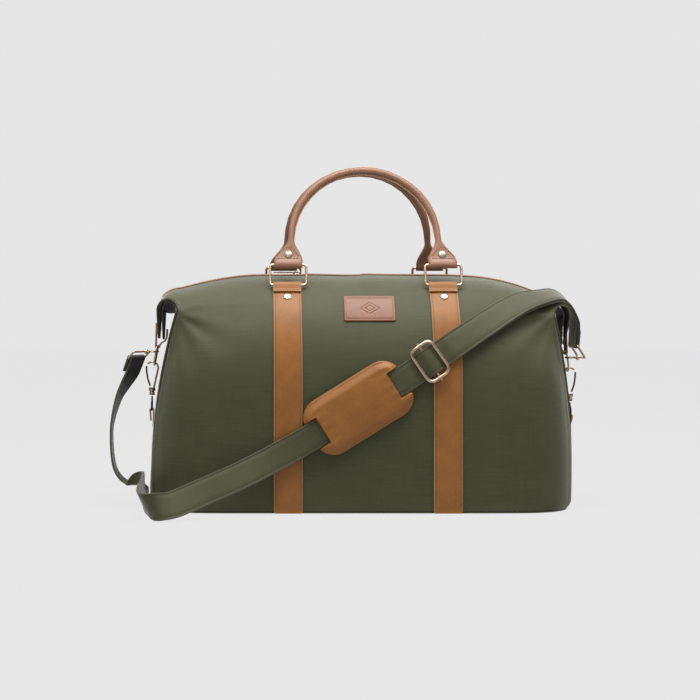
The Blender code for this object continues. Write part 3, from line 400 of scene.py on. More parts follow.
TAB_BAR = (0.2700, 0.2075)      # top bar of a wing ring (x, z)
RING_FOOT = (0.2745, 0.1822)    # its lowest wire
HOOK_EYE = (0.2773, 0.1785)     # centre of the hook's round top
HOOK_BASE = (0.2775, 0.1490)
LOOP_TOP = (0.2775, 0.1350)
LOOP_FOOT = (0.2778, 0.1225)
EYE_R = 0.0080


def arc_points(centre, radius, start, stop, count):
    made = []
    for k in range(count + 1):
        turn = math.radians(start + (stop - start) * k / count)
        made.append((centre[0] + radius * math.cos(turn), centre[1] + radius * math.sin(turn)))
    return made


def round_box(wide, tall, radius, first=0, inset=0.0):
    """Outline of a box of half sizes wide and tall with round corners, from the corner at first degrees."""
    made = []
    for start in range(first, first + 360, 90):
        corner = math.radians(start + 45)
        across = math.copysign(wide - radius, math.cos(corner))
        along = math.copysign(tall - radius, math.sin(corner))
        made += arc_points((across, along), radius - inset, start, start + 90, 8)
    return made


CLASP = (0.2755, -0.0165, 0.2005)   # middle of the clasp round a wing ring
CLASP_R = 0.0072
KNOB = 0.0035                       # length of the clasp's swivel knob
LOOP_NEAR = CLASP[0] + CLASP_R + KNOB + 0.0036
LOOP_AWAY = {-1: (0.0089, -0.0084), 1: (-0.0104, 0.0165)}   # near bar to far bar of the strap loop
LOOP_TURN = {-1: math.radians(-28), 1: 0.0}    # the loops' turn about the vertical
WRAP_R = LINK_R + BAR_CLEAR + WEB_T / 2
SLIDER_HALF = (0.0233, 0.0155)      # across and along the strap, wire centres
SLIDER_CORNER = 0.0080
SLIDER_R = 0.0018
SLIDER_BAR_R = 0.0017
SLIDER_BAR = 0.0275                 # half length of the bar
SLIDER_LIFT = 0.0020
ROUTE = [
    ((-0.3030, -0.0090, 0.1720), (-0.469, -0.883, 0)),
    ((-0.3125, -0.0120, 0.1560), (-0.34, -0.94, 0)),
    ((-0.3210, -0.0150, 0.1380), (-0.15, -0.99, 0.05)),
    ((-0.3290, -0.0170, 0.1050), (0, -1, 0.1)),
    ((-0.3293, -0.0170, 0.0740), (0, -1, 0)),
    ((-0.3255, -0.0170, 0.0480), (0, -1, 0)),
    ((-0.3170, -0.0180, 0.0340), (0, -1, 0)),
    ((-0.3060, -0.0200, 0.0275), (0, -1, 0)),
    ((-0.2975, -0.0240, 0.0262), (0, -1, 0.10)),
    ((-0.2890, -0.0360, 0.0280), (0.15, -0.75, 0.63)),
    ((-0.2845, -0.0560, 0.0288), (0, -0.20, 0.97)),
    ((-0.2832, -0.0820, 0.0284), (-0.05, 0.00, 1.00)),
    ((-0.2825, -0.1110, 0.0270), (-0.08, 0.00, 0.99)),
    ((-0.2818, -0.1400, 0.0250), (-0.18, 0.00, 0.98)),
    ((-0.2803, -0.1650, 0.0225), (-0.33, 0.00, 0.94)),
    ((-0.2770, -0.1830, 0.0202), (-0.46, 0.00, 0.88)),
    ((-0.2700, -0.1925, 0.0186), (-0.50, -0.05, 0.86)),
    ((-0.2590, -0.1960, 0.0182), (-0.48, 0.10, 0.87)),
    ((-0.2450, -0.1920, 0.0192), (-0.38, 0.25, 0.88)),
    ((-0.2320, -0.1835, 0.0226), (-0.28, 0.33, 0.90)),
    ((-0.2030, -0.166, 0.0335), (-0.25, 0.25, 0.92)),
    ((-0.1550, -0.148, 0.0530), (-0.35, 0.2, 0.9)),
    ((-0.1180, -0.136, 0.0710), (-0.42, 0.1, 0.9)),
    ((-0.0880, -0.1295, 0.0868), (-0.5, 0.0, 0.86)),
    ((-0.0564, -0.1280, 0.1054), (-0.53, 0.0, 0.85)),
    ((-0.0127, -0.1278, 0.1327), (-0.53, 0.0, 0.85)),
    ((0.0310, -0.1276, 0.1600), (-0.53, 0.0, 0.85)),
    ((0.0764, -0.1262, 0.1905), (-0.53, 0.06, 0.84)),
    ((0.1140, -0.1205, 0.2160), (-0.52, 0.22, 0.82)),
    ((0.1500, -0.1100, 0.2390), (-0.50, 0.40, 0.77)),
    ((0.1930, -0.0900, 0.2635), (-0.40, 0.62, 0.67)),
    ((0.2300, -0.0690, 0.2735), (-0.15, 0.88, 0.44)),
    ((0.2515, -0.0500, 0.2745), (0.10, 0.97, 0.22)),
    ((0.2695, -0.0310, 0.2635), (0.10, 0.99, 0.10)),
    ((0.2805, -0.0200, 0.2440), (0, 1, 0)),
    ((0.2835, -0.0165, 0.2270), (0, 1, 0)),
]
SLIDER_AT = 27                      # the slider sits on this point of the route
PAD_AT = 25                         # and the pad's middle on this one
STEPS = 3


def far_bar(side):
    """Where the strap wraps its end loop (x, z), on the side given."""
    away = LOOP_AWAY[side]
    return side * (LOOP_NEAR + away[0]), CLASP[2] + WING_SHIFT[side] + away[1]


def turned(side, place):
    """Turn a place with an end loop, about the vertical through its near bar's middle."""
    c, s = math.cos(LOOP_TURN[side]), math.sin(LOOP_TURN[side])
    dx, dy = place[0] - side * LOOP_NEAR, place[1] - CLASP[1]
    return Vector((side * LOOP_NEAR + c * dx - s * dy, CLASP[1] + s * dx + c * dy, place[2]))


def strap_lines():
    """Middle, edge direction and face normal at each step of the route."""
    middle = catmull([p for p, _ in ROUTE], STEPS)
    edge = catmull([w for _, w in ROUTE], STEPS)
    normals = []
    for i in range(len(middle)):
        ahead = ahead_at(middle, i)
        edge[i] = squared(edge[i], ahead)
        normals.append(ahead.cross(edge[i]))
    return middle, edge, normals


def strap_hump(gap):
    """Lift of the strap where it climbs over the slider's bar, gap metres away from it."""
    if abs(gap) > 0.034:
        return 0.0
    return 0.0038 * smooth_step(1 - abs(gap) / 0.014) - 0.0020 * smooth_step(2.4 - abs(gap) / 0.014)


def strap_frame_at(index):
    middle, edge, normals = strap_lines()
    at = index * STEPS
    across, up = edge[at], normals[at]
    return middle[at], across.cross(up), across, up


# ---------------------------------------------------------------- materials
class Nodes:
    """Short ways to add nodes to a node tree."""

    def __init__(self, tree):
        self.tree = tree

    def set(self, node, values):
        for key, value in values.items():
            if isinstance(value, bpy.types.NodeSocket):
                self.tree.links.new(value, node.inputs[key])
            else:
                node.inputs[key].default_value = value
        return node

    def add(self, kind, values=None, **settings):
        node = self.tree.nodes.new("ShaderNode" + kind)
        for key, value in settings.items():
            setattr(node, key, value)
        return self.set(node, values or {})


class Paint(Nodes):
    """A Principled material and the patterns that its cloth, leather and metal share."""

    def __init__(self, name, colour, rough, metal=0.0, sheen=0.0, specular=0.5):
        self.made = bpy.data.materials.new(name)
        self.made.use_nodes = True
        super().__init__(self.made.node_tree)
        self.shader = self.tree.nodes["Principled BSDF"]
        self.set(self.shader, {"Base Color": (*colour, 1.0), "Roughness": rough, "Metallic": metal,
                               "Sheen Weight": sheen, "Specular IOR Level": specular})

    def math(self, operation, a, b=0.0):
        return self.add("Math", {0: a, 1: b}, operation=operation).outputs[0]

    def cloth_uv(self):
        """Lengthways and crossways distance on the cloth, in metres."""
        place = self.add("UVMap", uv_map="cloth").outputs[0]
        split = self.add("SeparateXYZ", {0: place})
        return place, split.outputs[0], split.outputs[1]

    def noise(self, vector, scale, detail=3.0, rough=0.5):
        return self.add("TexNoise", {"Vector": vector, "Scale": scale, "Detail": detail,
                                     "Roughness": rough}).outputs[0]

    def stretched(self, vector, scale):
        return self.add("Mapping", {"Vector": vector, "Scale": scale}).outputs[0]

    def ramp(self, value, low, high, dark, light):
        """Remap a value between low and high to the range dark to light."""
        return self.add("MapRange", {0: value, 1: low, 2: high, 3: dark, 4: light}).outputs[0]

    def sway(self, value, dark, light):
        """A noise's usual spread, remapped to the range dark to light."""
        return self.ramp(value, 0.3, 0.7, dark, light)

    def product(self, *factors):
        made = factors[0]
        for factor in factors[1:]:
            made = self.math("MULTIPLY", made, factor)
        return made

    def wave(self, distance, period):
        """Bumps from 0 to 1 that repeat along a distance."""
        return self.math("ABSOLUTE", self.math("SINE", self.math("MULTIPLY", distance, math.pi / period)))

    def tone(self, colour, factor):
        """The colour made darker or lighter by a factor that varies over the surface."""
        mixed = self.add("VectorMath", {0: colour, "Scale": factor}, operation="SCALE").outputs[0]
        self.set(self.shader, {"Base Color": mixed})

    def bump(self, height, strength, distance):
        bumped = self.add("Bump", {"Height": height, "Strength": strength, "Distance": distance})
        self.set(self.shader, {"Normal": bumped.outputs[0]})


def canvas_paint(name, colour, thread, sheen, streak):
    """Plain weave: over and under threads, slubs along both directions and soft mottling."""
    paint = Paint(name, colour, 0.60, sheen=sheen, specular=0.38)
    paint.shader.inputs["Sheen Roughness"].default_value = 0.36
    paint.shader.inputs["Sheen Tint"].default_value = (0.95, 0.94, 0.90, 1.0)
    place, along, across = paint.cloth_uv()
    over = paint.add("TexChecker", {"Vector": place, "Scale": 1 / thread}).outputs[1]
    warp = paint.product(paint.wave(along, thread), over)
    weft = paint.product(paint.wave(across, thread), paint.math("SUBTRACT", 1.0, over))
    weave = paint.math("ADD", warp, weft)
    slub_h = paint.noise(paint.stretched(place, (22, 780, 1)), 1.0, 2.0)
    slub_v = paint.noise(paint.stretched(place, (640, 16, 1)), 1.0, 2.0)
    mottle = paint.noise(place, 22.0, 4.0)
    faint = streak * 0.3
    paint.tone(colour, paint.product(
        paint.sway(slub_h, 1 - streak, 1 + streak), paint.sway(slub_v, 1 - faint, 1 + faint),
        paint.sway(mottle, 0.93, 1.07), paint.ramp(weave, 0.0, 1.0, 0.89, 1.04)))
    paint.bump(paint.math("ADD", weave, paint.product(slub_h, 0.8)), 0.38, 0.00022)
    return paint.made


def leather_paint(name, colour, rough=0.46, grain=0.26):
    """Smooth saddle leather: fine pebble, pores and a slow change of tone."""
    paint = Paint(name, colour, rough, specular=0.28)
    place = paint.add("TexCoord").outputs["Object"]
    cells = paint.add("TexVoronoi", {"Vector": place, "Scale": 1150.0}, feature="SMOOTH_F1").outputs[0]
    fine = paint.noise(place, 420.0, 5.0)
    slow = paint.noise(place, 34.0, 3.0)
    paint.tone(colour, paint.product(paint.sway(slow, 0.88, 1.12), paint.sway(fine, 0.93, 1.07)))
    paint.set(paint.shader, {"Roughness": paint.sway(fine, rough - 0.05, rough + 0.07)})
    paint.bump(paint.math("ADD", cells, paint.product(fine, 0.9)), grain, 0.00018)
    return paint.made


def metal_paint(name, colour, rough):
    """Plated metal with faint cloudy wear and polishing marks."""
    paint = Paint(name, colour, rough, metal=1.0)
    place = paint.add("TexCoord").outputs["Object"]
    cloud = paint.noise(place, 160.0, 4.0)
    paint.tone(colour, paint.sway(cloud, 0.90, 1.06))
    paint.set(paint.shader, {"Roughness": paint.sway(cloud, rough - 0.05, rough + 0.09)})
    paint.bump(paint.noise(paint.stretched(place, (900, 900, 90)), 1.0), 0.08, 0.00004)
    return paint.made


def thread_paint(name, colour):
    """Twisted sewing thread."""
    paint = Paint(name, colour, 0.62, sheen=0.2)
    place = paint.add("TexCoord").outputs["Object"]
    twist = paint.noise(place, 1500.0, 1.0)
    paint.tone(colour, paint.sway(twist, 0.75, 1.2))
    paint.bump(twist, 0.4, 0.0001)
    return paint.made


CANVAS_PAINT = canvas_paint("olive_canvas", (0.041, 0.042, 0.0125), 0.00085, 0.66, 0.16)
# Dark lining inside the panels and gussets. The same paint on the gussets' outside under the wings is painted
# shade.
LINING_AND_SHADE_PAINT = canvas_paint("dark_lining_and_painted_shade", (0.010, 0.010, 0.011), 0.0005, 0.10, 0.10)
WEB_PAINT = canvas_paint("strap_canvas", (0.048, 0.047, 0.0165), 0.0008, 0.66, 0.09)
WEB_UNDER = canvas_paint("strap_backing", (0.012, 0.012, 0.016), 0.0007, 0.30, 0.10)
TAPE_PAINT = canvas_paint("zip_tape_weave", (0.030, 0.032, 0.020), 0.0006, 0.10, 0.08)
LEATHER_PAINT = leather_paint("tan_leather", (0.236, 0.092, 0.019))
HANDLE_PAINT = leather_paint("handle_leather", (0.232, 0.116, 0.072), 0.36, 0.26)
LABEL_PAINT = leather_paint("label_leather", (0.186, 0.078, 0.041), 0.36, 0.28)
EDGE_PAINT = leather_paint("cut_edge", (0.42, 0.235, 0.135), 0.60, 0.55)
SUEDE_PAINT = leather_paint("leather_back", (0.17, 0.095, 0.055), 0.85, 0.7)
GOLD_PAINT = metal_paint("rose_gold", (0.53, 0.38, 0.27), 0.25)
RIVET_PAINT = metal_paint("pale_gold", (0.53, 0.47, 0.40), 0.27)
BRONZE_PAINT = metal_paint("dark_bronze", (0.095, 0.068, 0.058), 0.34)
THREAD_PAINT = thread_paint("brown_thread", (0.070, 0.030, 0.014))
TAN_THREAD = thread_paint("tan_thread", (0.230, 0.098, 0.030))
PRESSED_PAINT = leather_paint("pressed_mark", (0.130, 0.048, 0.020), 0.5, 0.25)
GREEN_THREAD = thread_paint("olive_thread", (0.022, 0.026, 0.014))
TOOTH_PAINT = metal_paint("zip_teeth_metal", (0.42, 0.31, 0.22), 0.35)
STRIP_PAINTS = [LEATHER_PAINT, EDGE_PAINT, SUEDE_PAINT]
BOARD_PAINT = leather_paint("base_board_sheet", (0.05, 0.045, 0.035), 0.8, 0.5)


# ---------------------------------------------------------------- building pieces
def show(obj, body, slot, *nodes):
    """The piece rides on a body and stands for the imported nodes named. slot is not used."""
    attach(obj, body)
    if nodes:
        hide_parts(*nodes)
    return obj


def new_object(name, data, paints):
    for paint in paints:
        data.materials.append(paint)
    obj = bpy.data.objects.new(name, data)
    bpy.context.scene.collection.objects.link(obj)
    return obj


def mesh_piece(name, points, faces, paints, corners=None, which=None, smooth=40):
    """A closed mesh. corners: cloth distances at each face's corners; which: a paint for each face."""
    mesh = bpy.data.meshes.new(name)
    mesh.from_pydata([tuple(p) for p in points], [], faces)
    if corners is not None:
        layer = mesh.uv_layers.new(name="cloth")
        layer.data.foreach_set("uv", np.array(corners, np.float32).ravel())
    if which is not None:
        mesh.polygons.foreach_set("material_index", np.array(which, np.int32))
    work = bmesh.new()
    work.from_mesh(mesh)
    bmesh.ops.recalc_face_normals(work, faces=work.faces)
    if work.calc_volume(signed=True) < 0:
        bmesh.ops.reverse_faces(work, faces=work.faces)
    work.to_mesh(mesh)
    work.free()
    mesh.shade_smooth()
    if smooth:
        mesh.set_sharp_from_angle(angle=math.radians(smooth))
    return new_object(name, mesh, paints)


def run_of(points):
    """Distance run at each point of a line."""
    steps = [(b - a).length for a, b in zip(points, points[1:])]
    return [0.0] + list(np.cumsum(steps))


def ahead_at(points, i):
    """Unit direction of a line of points at its point i."""
    return (points[min(i + 1, len(points) - 1)] - points[max(i - 1, 0)]).normalized()


def squared(wide, ahead):
    """The unit vector nearest to wide that is square to the direction ahead."""
    return (wide - ahead * wide.dot(ahead)).normalized()


def loft(name, rings, paints, skin=None, closed=False, smooth=40):
    """Join rings of points and cap the ends. skin gives a paint for each strip round a ring."""
    count = len(rings[0])
    points = [Vector(p) for ring in rings for p in ring]
    middle = [sum(points[i:i + count], Vector()) / count for i in range(0, len(points), count)]
    along = run_of(middle + middle[:1])
    around = run_of(points[:count] + points[:1])
    faces, corners, which = [], [], []
    for i in range(len(rings) if closed else len(rings) - 1):
        a, b = i * count, ((i + 1) % len(rings)) * count
        for j in range(count):
            k = (j + 1) % count
            faces.append((a + j, a + k, b + k, b + j))
            corners += [(along[i], around[j]), (along[i], around[j + 1]),
                        (along[i + 1], around[j + 1]), (along[i + 1], around[j])]
            which.append(skin[j] if skin else 0)
    if not closed:
        faces.append(tuple(range(count)))
        faces.append(tuple(reversed(range((len(rings) - 1) * count, len(rings) * count))))
        corners += [(0.0, v) for v in around[:-1]] * 2
        which += [len(paints) - 1 if skin else 0] * 2
    return mesh_piece(name, points, faces, paints, corners, which, smooth)


def normals_of(grid):
    """Unit normals of a grid of points, rows along the first index."""
    du = np.gradient(grid, axis=1)
    dv = np.gradient(grid, axis=0)
    normal = np.cross(du, dv)
    return normal / np.maximum(np.linalg.norm(normal, axis=2, keepdims=True), 1e-12)


def slab(name, top, bottom, paints, which=None, smooth=40):
    """A closed sheet between two grids of points, joined round the rim."""
    rows, wide = top.shape[:2]
    half = rows * wide
    span = np.linalg.norm(np.diff(top, axis=1), axis=2)
    us = np.concatenate([np.zeros((rows, 1)), np.cumsum(span, axis=1)], axis=1)
    us -= us[:, wide // 2:wide // 2 + 1]
    rise = np.linalg.norm(np.diff(top[:, wide // 2], axis=0), axis=1)
    vs = np.repeat(np.concatenate([[0.0], np.cumsum(rise)])[:, None], wide, axis=1)
    flat = np.stack([us, vs], axis=2).reshape(-1, 2)
    flat = np.concatenate([flat, flat])
    faces, paint_of = [], []
    for j in range(rows - 1):
        for i in range(wide - 1):
            a = j * wide + i
            faces.append((a, a + 1, a + wide + 1, a + wide))
            faces.append((half + a, half + a + wide, half + a + wide + 1, half + a + 1))
            paint_of += [which(i / wide, j / rows) if which else 0, len(paints) - 1]
    number = np.arange(half).reshape(rows, wide)
    edges = (number[0, :-1], number[:-1, -1], number[-1, :0:-1], number[:0:-1, 0])
    rim = [int(q) for q in np.concatenate(edges)]
    for a, b in zip(rim, rim[1:] + rim[:1]):
        faces.append((a, half + a, half + b, b))
        paint_of.append(0)
    corners = flat[[q for face in faces for q in face]]
    points = np.concatenate([top.reshape(-1, 3), bottom.reshape(-1, 3)])
    return mesh_piece(name, points, faces, paints, corners, paint_of, smooth)


def even_line(points, spacing, cyclic=False, passes=2):
    """The line through the points in even steps, with its corners eased."""
    line = np.array([tuple(p) for p in points] + ([tuple(points[0])] if cyclic else []))
    run = np.concatenate([[0], np.cumsum(np.linalg.norm(np.diff(line, axis=0), axis=1))])
    count = max(int(run[-1] / spacing), 4)
    at = np.linspace(0, run[-1], count + 1)
    even = np.stack([np.interp(at, run, line[:, k]) for k in range(3)], axis=1)
    even = even[:-1] if cyclic else even
    for _ in range(passes):
        eased = (np.roll(even, 1, axis=0) + 2 * even + np.roll(even, -1, axis=0)) / 4
        if not cyclic:
            eased[0], eased[-1] = even[0], even[-1]
        even = eased
    return [Vector(p) for p in even]


def wire(name, points, radius, paint, cyclic=False, passes=3):
    """A round wire along a smooth line."""
    line = even_line(points, radius * 0.7, cyclic, passes)
    curve = bpy.data.curves.new(name, "CURVE")
    curve.dimensions = "3D"
    curve.bevel_depth = radius
    curve.bevel_resolution = 5
    curve.use_fill_caps = True
    spline = curve.splines.new("POLY")
    spline.points.add(len(line) - 1)
    for slot, place in zip(spline.points, line):
        slot.co = (*place, 1.0)
    spline.use_cyclic_u = cyclic
    spline.use_smooth = True
    return new_object(name, curve, [paint])


def lathe(name, profile, centre, axis, paint, steps=36):
    """Turn (radius, height) pairs about an axis through centre."""
    axis = Vector(axis).normalized()
    first = axis.orthogonal().normalized()
    second = axis.cross(first)
    rings = []
    for radius, height in profile:
        ring = []
        for k in range(steps):
            angle = 2 * math.pi * k / steps
            ring.append(Vector(centre) + axis * height
                        + (first * math.cos(angle) + second * math.sin(angle)) * radius)
        rings.append(ring)
    return loft(name, rings, [paint], smooth=50)


def flat_section(width, thick, out=1.0, seam=0.0026, dip=0.0003, crown=0.0):
    """Section of a flat strip with rounded edges and a shallow groove where the thread lies.

    Returns its (across, up) points and, for each strip round it, 0 face, 1 edge or 2 back.
    """
    half, t = width / 2, thick / 2
    inner = half - seam
    top = [(half - 0.5 * t, t), (inner + 0.0009, t), (inner, t - dip), (inner - 0.0009, t),
           (inner * 0.6, t + crown * 0.64), (inner * 0.25, t + crown * 0.94)]
    face = [(-a, u) for a, u in top] + [(a, u) for a, u in reversed(top)]
    edge = [(half - 0.12 * t, 0.6 * t), (half, 0.0), (half - 0.12 * t, -0.6 * t)]
    back = [(half - 0.5 * t, -t), (-half + 0.5 * t, -t)]
    points = face + edge + back + [(-a, u) for a, u in reversed(edge)]
    skin = [0] * (len(face) - 1) + [1] * 4 + [2] + [1] * 4
    return [(a, u * out) for a, u in points], skin


def ribbon(name, centres, side, section, paints, smooth=40):
    """A strip along the centres, with side(i) its width direction. section: points and skin."""
    rings = []
    for i, here in enumerate(centres):
        ahead = ahead_at(centres, i)
        wide = squared(Vector(side(i)), ahead)
        up = ahead.cross(wide)
        rings.append([here + wide * a + up * t for a, t in section[0]])
    return loft(name, rings, paints, section[1], smooth=smooth)


def baked(obj):
    """A mesh of the object as its modifiers or its curve make it."""
    bpy.context.view_layer.update()
    return bpy.data.meshes.new_from_object(obj.evaluated_get(bpy.context.evaluated_depsgraph_get()))


def combined(obj, other, operation):
    """The mesh of an object with another joined to it or taken away; the other is removed."""
    change = obj.modifiers.new("combine", "BOOLEAN")
    change.operation = operation
    change.solver = "EXACT"
    change.object = other
    mesh = baked(obj)
    bpy.data.objects.remove(other, do_unlink=True)
    return mesh


def cut(obj, cutter):
    """Take the cutter's shape out of the object."""
    mesh = combined(obj, cutter, "DIFFERENCE")
    obj.modifiers.clear()
    obj.data = mesh


def joined(name, wire_piece, solid, paint):
    """One closed piece from a wire and a solid that overlap."""
    first = new_object(wire_piece.name + "_solid", baked(wire_piece), [])
    bpy.data.objects.remove(wire_piece, do_unlink=True)
    mesh = combined(first, solid, "UNION")
    bpy.data.objects.remove(first, do_unlink=True)
    mesh.materials.clear()
    mesh.shade_smooth()
    mesh.set_sharp_from_angle(angle=math.radians(50))
    return new_object(name, mesh, [paint])


class Thread:
    """Stitches gathered along lines into one piece."""

    def __init__(self, pitch=0.0042, length=0.0031, radius=0.00038):
        self.pitch, self.length, self.radius = pitch, length, radius
        self.points, self.faces = [], []

    def sew(self, line, normals):
        """Add stitches along a line of points that has a normal at each."""
        line = [Vector(p) for p in line]
        run = run_of(line)
        count = int(run[-1] / self.pitch)
        spare = (run[-1] - count * self.pitch) / 2
        table = np.array([tuple(p) for p in line])
        tilt = np.array([tuple(n) for n in normals])

        def at(distance):
            place = Vector([float(np.interp(distance, run, table[:, k])) for k in range(3)])
            return place, Vector([float(np.interp(distance, run, tilt[:, k])) for k in range(3)])
        for n in range(count):
            start = spare + n * self.pitch + (self.pitch - self.length) / 2
            (a, up), (b, _) = at(start), at(start + self.length)
            ahead = (b - a).normalized()
            up = up.normalized()
            side = ahead.cross(up)
            base = len(self.points)
            for share, size, rise in ((0.0, 0.35, -0.6), (0.18, 0.95, 0.1), (0.5, 1.0, 0.35),
                                      (0.82, 0.95, 0.1), (1.0, 0.35, -0.6)):
                here = a.lerp(b, share) + up * self.radius * rise
                for k in range(6):
                    turn = math.pi * k / 3
                    spoke = side * math.cos(turn) + up * math.sin(turn)
                    self.points.append(here + spoke * self.radius * size)
            for i in range(4):
                for k in range(6):
                    q, r = base + i * 6, (k + 1) % 6
                    self.faces.append((q + k, q + r, q + 6 + r, q + 6 + k))
            self.faces += [tuple(range(base, base + 6)), tuple(range(base + 29, base + 23, -1))]

    def finish(self, name, body, slot, paint):
        return show(mesh_piece(name, self.points, self.faces, [paint]), body, slot)


# ---------------------------------------------------------------- canvas body
def flat_near(x, half, ease=0.012):
    """0 within half of the straps' middle lines, 1 away from them."""
    gap = min(abs(x - STRAP_X), abs(x + STRAP_X)) - half
    return smooth_step(gap / ease)


def slack(p, edge):
    """How far the canvas stands off its taut form. edge is the distance to the side seam."""
    x, y, z = p
    side = math.copysign(1.0, x)
    soft = 0.0013 * noise.noise(Vector((x * 7, z * 8, y * 6 + side)))
    soft += 0.0005 * noise.noise(Vector((x * 24, z * 19, y * 20 + 3.1)))
    out, down = FOLD_X + 0.004 - abs(x), FOLD_Z - 0.002 - z
    reach = math.hypot(out, down)
    if out > 0 and down > -0.01:
        fan = math.sin(math.atan2(down, out) * 10 + side) * smooth_step(reach / 0.015)
        soft += 0.0011 * fan * math.exp(-(reach / 0.085) ** 2)
    sit = math.exp(-max(z - 0.004, 0.0) / 0.022)
    soft += 0.0006 * sit * noise.noise(Vector((x * 42, 0.3, y * 42)))
    soft *= smooth_step(edge / 0.030) * smooth_step((z - 0.001) / 0.010)
    if y < 0:
        label = max(abs(x - 0.004) - 0.033, abs(z - 0.256) - 0.017)
        soft *= smooth_step(label / 0.012)
    return soft * flat_near(x, 0.019) - 0.0002


def panel_grid(facing, across, along):
    """Grid of the front or back panel: its places, and how far each is from the nearer side edge."""
    swing = np.cos(np.pi * np.arange(across + 1) / across)
    us = 0.5 - 0.5 * swing * (0.55 + 0.45 * np.abs(swing))
    vs = [j / along for j in range(along + 1)]
    grid = np.array([[tuple(panel_point(u if facing < 0 else 1 - u, v, facing)) for u in us] for v in vs])
    span = np.linalg.norm(np.diff(grid, axis=1), axis=2)
    run = np.concatenate([np.zeros((along + 1, 1)), np.cumsum(span, axis=1)], axis=1)
    return grid, np.minimum(run, run[:, -1:] - run)


HEM = 0.0065                # turned hem along the side edges
HEM_RISE = 0.0004


def hem_rise(edge):
    """Extra thickness of the turned hem, with its outer corner rounded over."""
    if edge > HEM:
        return HEM_RISE * (1 - smooth_step((edge - HEM) / 0.0012))
    round_over = 0.0011
    return HEM_RISE - 0.0006 * (1 - smooth_step(edge / round_over))


def panels():
    thread = Thread(0.0040, 0.0029, 0.00032)
    for facing, name in FACES:
        top, edge = panel_grid(facing, 190, 150)
        normal = normals_of(top)
        lift = np.array([[slack(top[j, i], edge[j, i]) + hem_rise(edge[j, i]) for i in range(top.shape[1])]
                         for j in range(top.shape[0])])
        outer = top + normal * lift[..., None]
        deep = np.array([[CANVAS + 0.0005 * (1 - smooth_step((e - 0.004) / 0.003)) - 0.0006 *
                          (1 - smooth_step(e / 0.0011)) for e in row] for row in edge])
        inner = top - normal * deep[..., None]
        piece = slab("canvas_" + name, outer, inner, [CANVAS_PAINT, LINING_AND_SHADE_PAINT])
        show(piece, "root", "canvas", name + "_panel")
        for end in (0, -1):
            half = top.shape[1] // 2
            line, tilt = [], []
            for j in range(4, top.shape[0] - 2):
                row = edge[j, :half] if end == 0 else edge[j, half:]
                i = int(np.argmin(np.abs(row - 0.0048))) + (0 if end == 0 else half)
                line.append(Vector(outer[j, i]))
                tilt.append(Vector(normal[j, i]))
            seam = even_line(line, 0.003, passes=6)
            slots = np.linspace(0, len(tilt) - 1, len(seam)).astype(int)
            thread.sew(seam, np.array([tuple(t) for t in tilt])[slots])
    thread.finish("hem_stitches", "root", "canvas", GREEN_THREAD)


def gussets():
    for side, name in SIDES:
        across, along = 44, 150
        top = np.array([[tuple(gusset_point(side, (2 * i / across - 1) * side, j / along))
                         for i in range(across + 1)] for j in range(along + 1)])
        normal = normals_of(top)
        for j in range(along + 1):
            for i in range(across + 1):
                edge = min(i, across - i) / across
                x, y, z = top[j, i]
                soft = 0.0011 * noise.noise(Vector((x * 4, y * 13, z * 10 + side)))
                soft += 0.0006 * noise.noise(Vector((x * 4, y * 40, z * 26)))
                top[j, i] += normal[j, i] * soft * smooth_step(edge * 6) * smooth_step((z - 0.002) / 0.012)
        inner = top - normal * CANVAS
        # Above this row the gusset's outside takes the dark lining paint: painted shade in the fold under the
        # wing.
        share = SEAM_BREAK + 0.02
        piece = slab("gusset_canvas_" + name, top, inner, [CANVAS_PAINT, LINING_AND_SHADE_PAINT],
                     lambda u, v: 1 if v > share else 0)
        show(piece, "root", "canvas", name + "_gusset")


def base_parts():
    outline = base_outline(0.0005, 24)
    middle = Vector((sum(x for x, _ in outline), sum(y for _, y in outline))) / len(outline)
    rings = []
    for inset, z in ((0.0030, 0.0), (0.0014, 0.0003), (0.0004, 0.0010), (0.0, 0.0020), (0.0004, 0.0029)):
        ring = []
        for x, y in outline:
            ring.append(Vector((x - math.copysign(inset, x - middle.x), y - math.copysign(inset, y), z)))
        rings.append(ring)
    piece = loft("base_canvas", rings, [CANVAS_PAINT], smooth=60)
    show(piece, "root", "canvas", "base_panel")
    board = frame["nodes"]["base_board"]
    board.data.materials.clear()
    board.data.materials.append(BOARD_PAINT)


# ---------------------------------------------------------------- zip
def along_ridge(y, lift, reach, steps):
    """Centres along the ridge at a depth y, lifted off it."""
    path = ridge_path(reach, steps)
    lifted, ups = [], []
    for i, here in enumerate(path):
        ahead = ahead_at(path, i)
        up = Vector((-ahead.z, 0, ahead.x))
        lifted.append(here + up * lift + Vector((0, y, 0)))
        ups.append(up)
    return lifted, ups


def zip_edge(facing):
    """Middle line, width direction and normal of the leather strip on one panel's edge."""
    steps = 170
    row = 1 - (TRIM_W / 2 + 0.0004) / (float(ROWS[0][-1]) * TOP_ROW)
    reach = (FOLD_X + 0.030) / (FOLD_X + WING_RUN)
    trim, sides, ups = [], [], []
    for i in range(steps + 1):
        share = (2 * i / steps - 1) * reach
        u = 0.5 + 0.5 * math.copysign(abs(share) ** (1 / 0.85), share)
        here, step = panel_point(u, row, facing), 0.002
        along = panel_point(u + step, row, facing) - panel_point(u - step, row, facing)
        side = (panel_point(u, row + step, facing) - panel_point(u, row - step, facing)).normalized()
        up = along.cross(side).normalized() * -facing
        side = up.cross(along).normalized()
        lift = slack(tuple(here), (1 - abs(share)) * (FOLD_X + WING_RUN)) + TRIM_T / 2 + 0.0003
        trim.append(here + up * lift)
        sides.append(side)
        ups.append(up)
    return trim, sides, ups


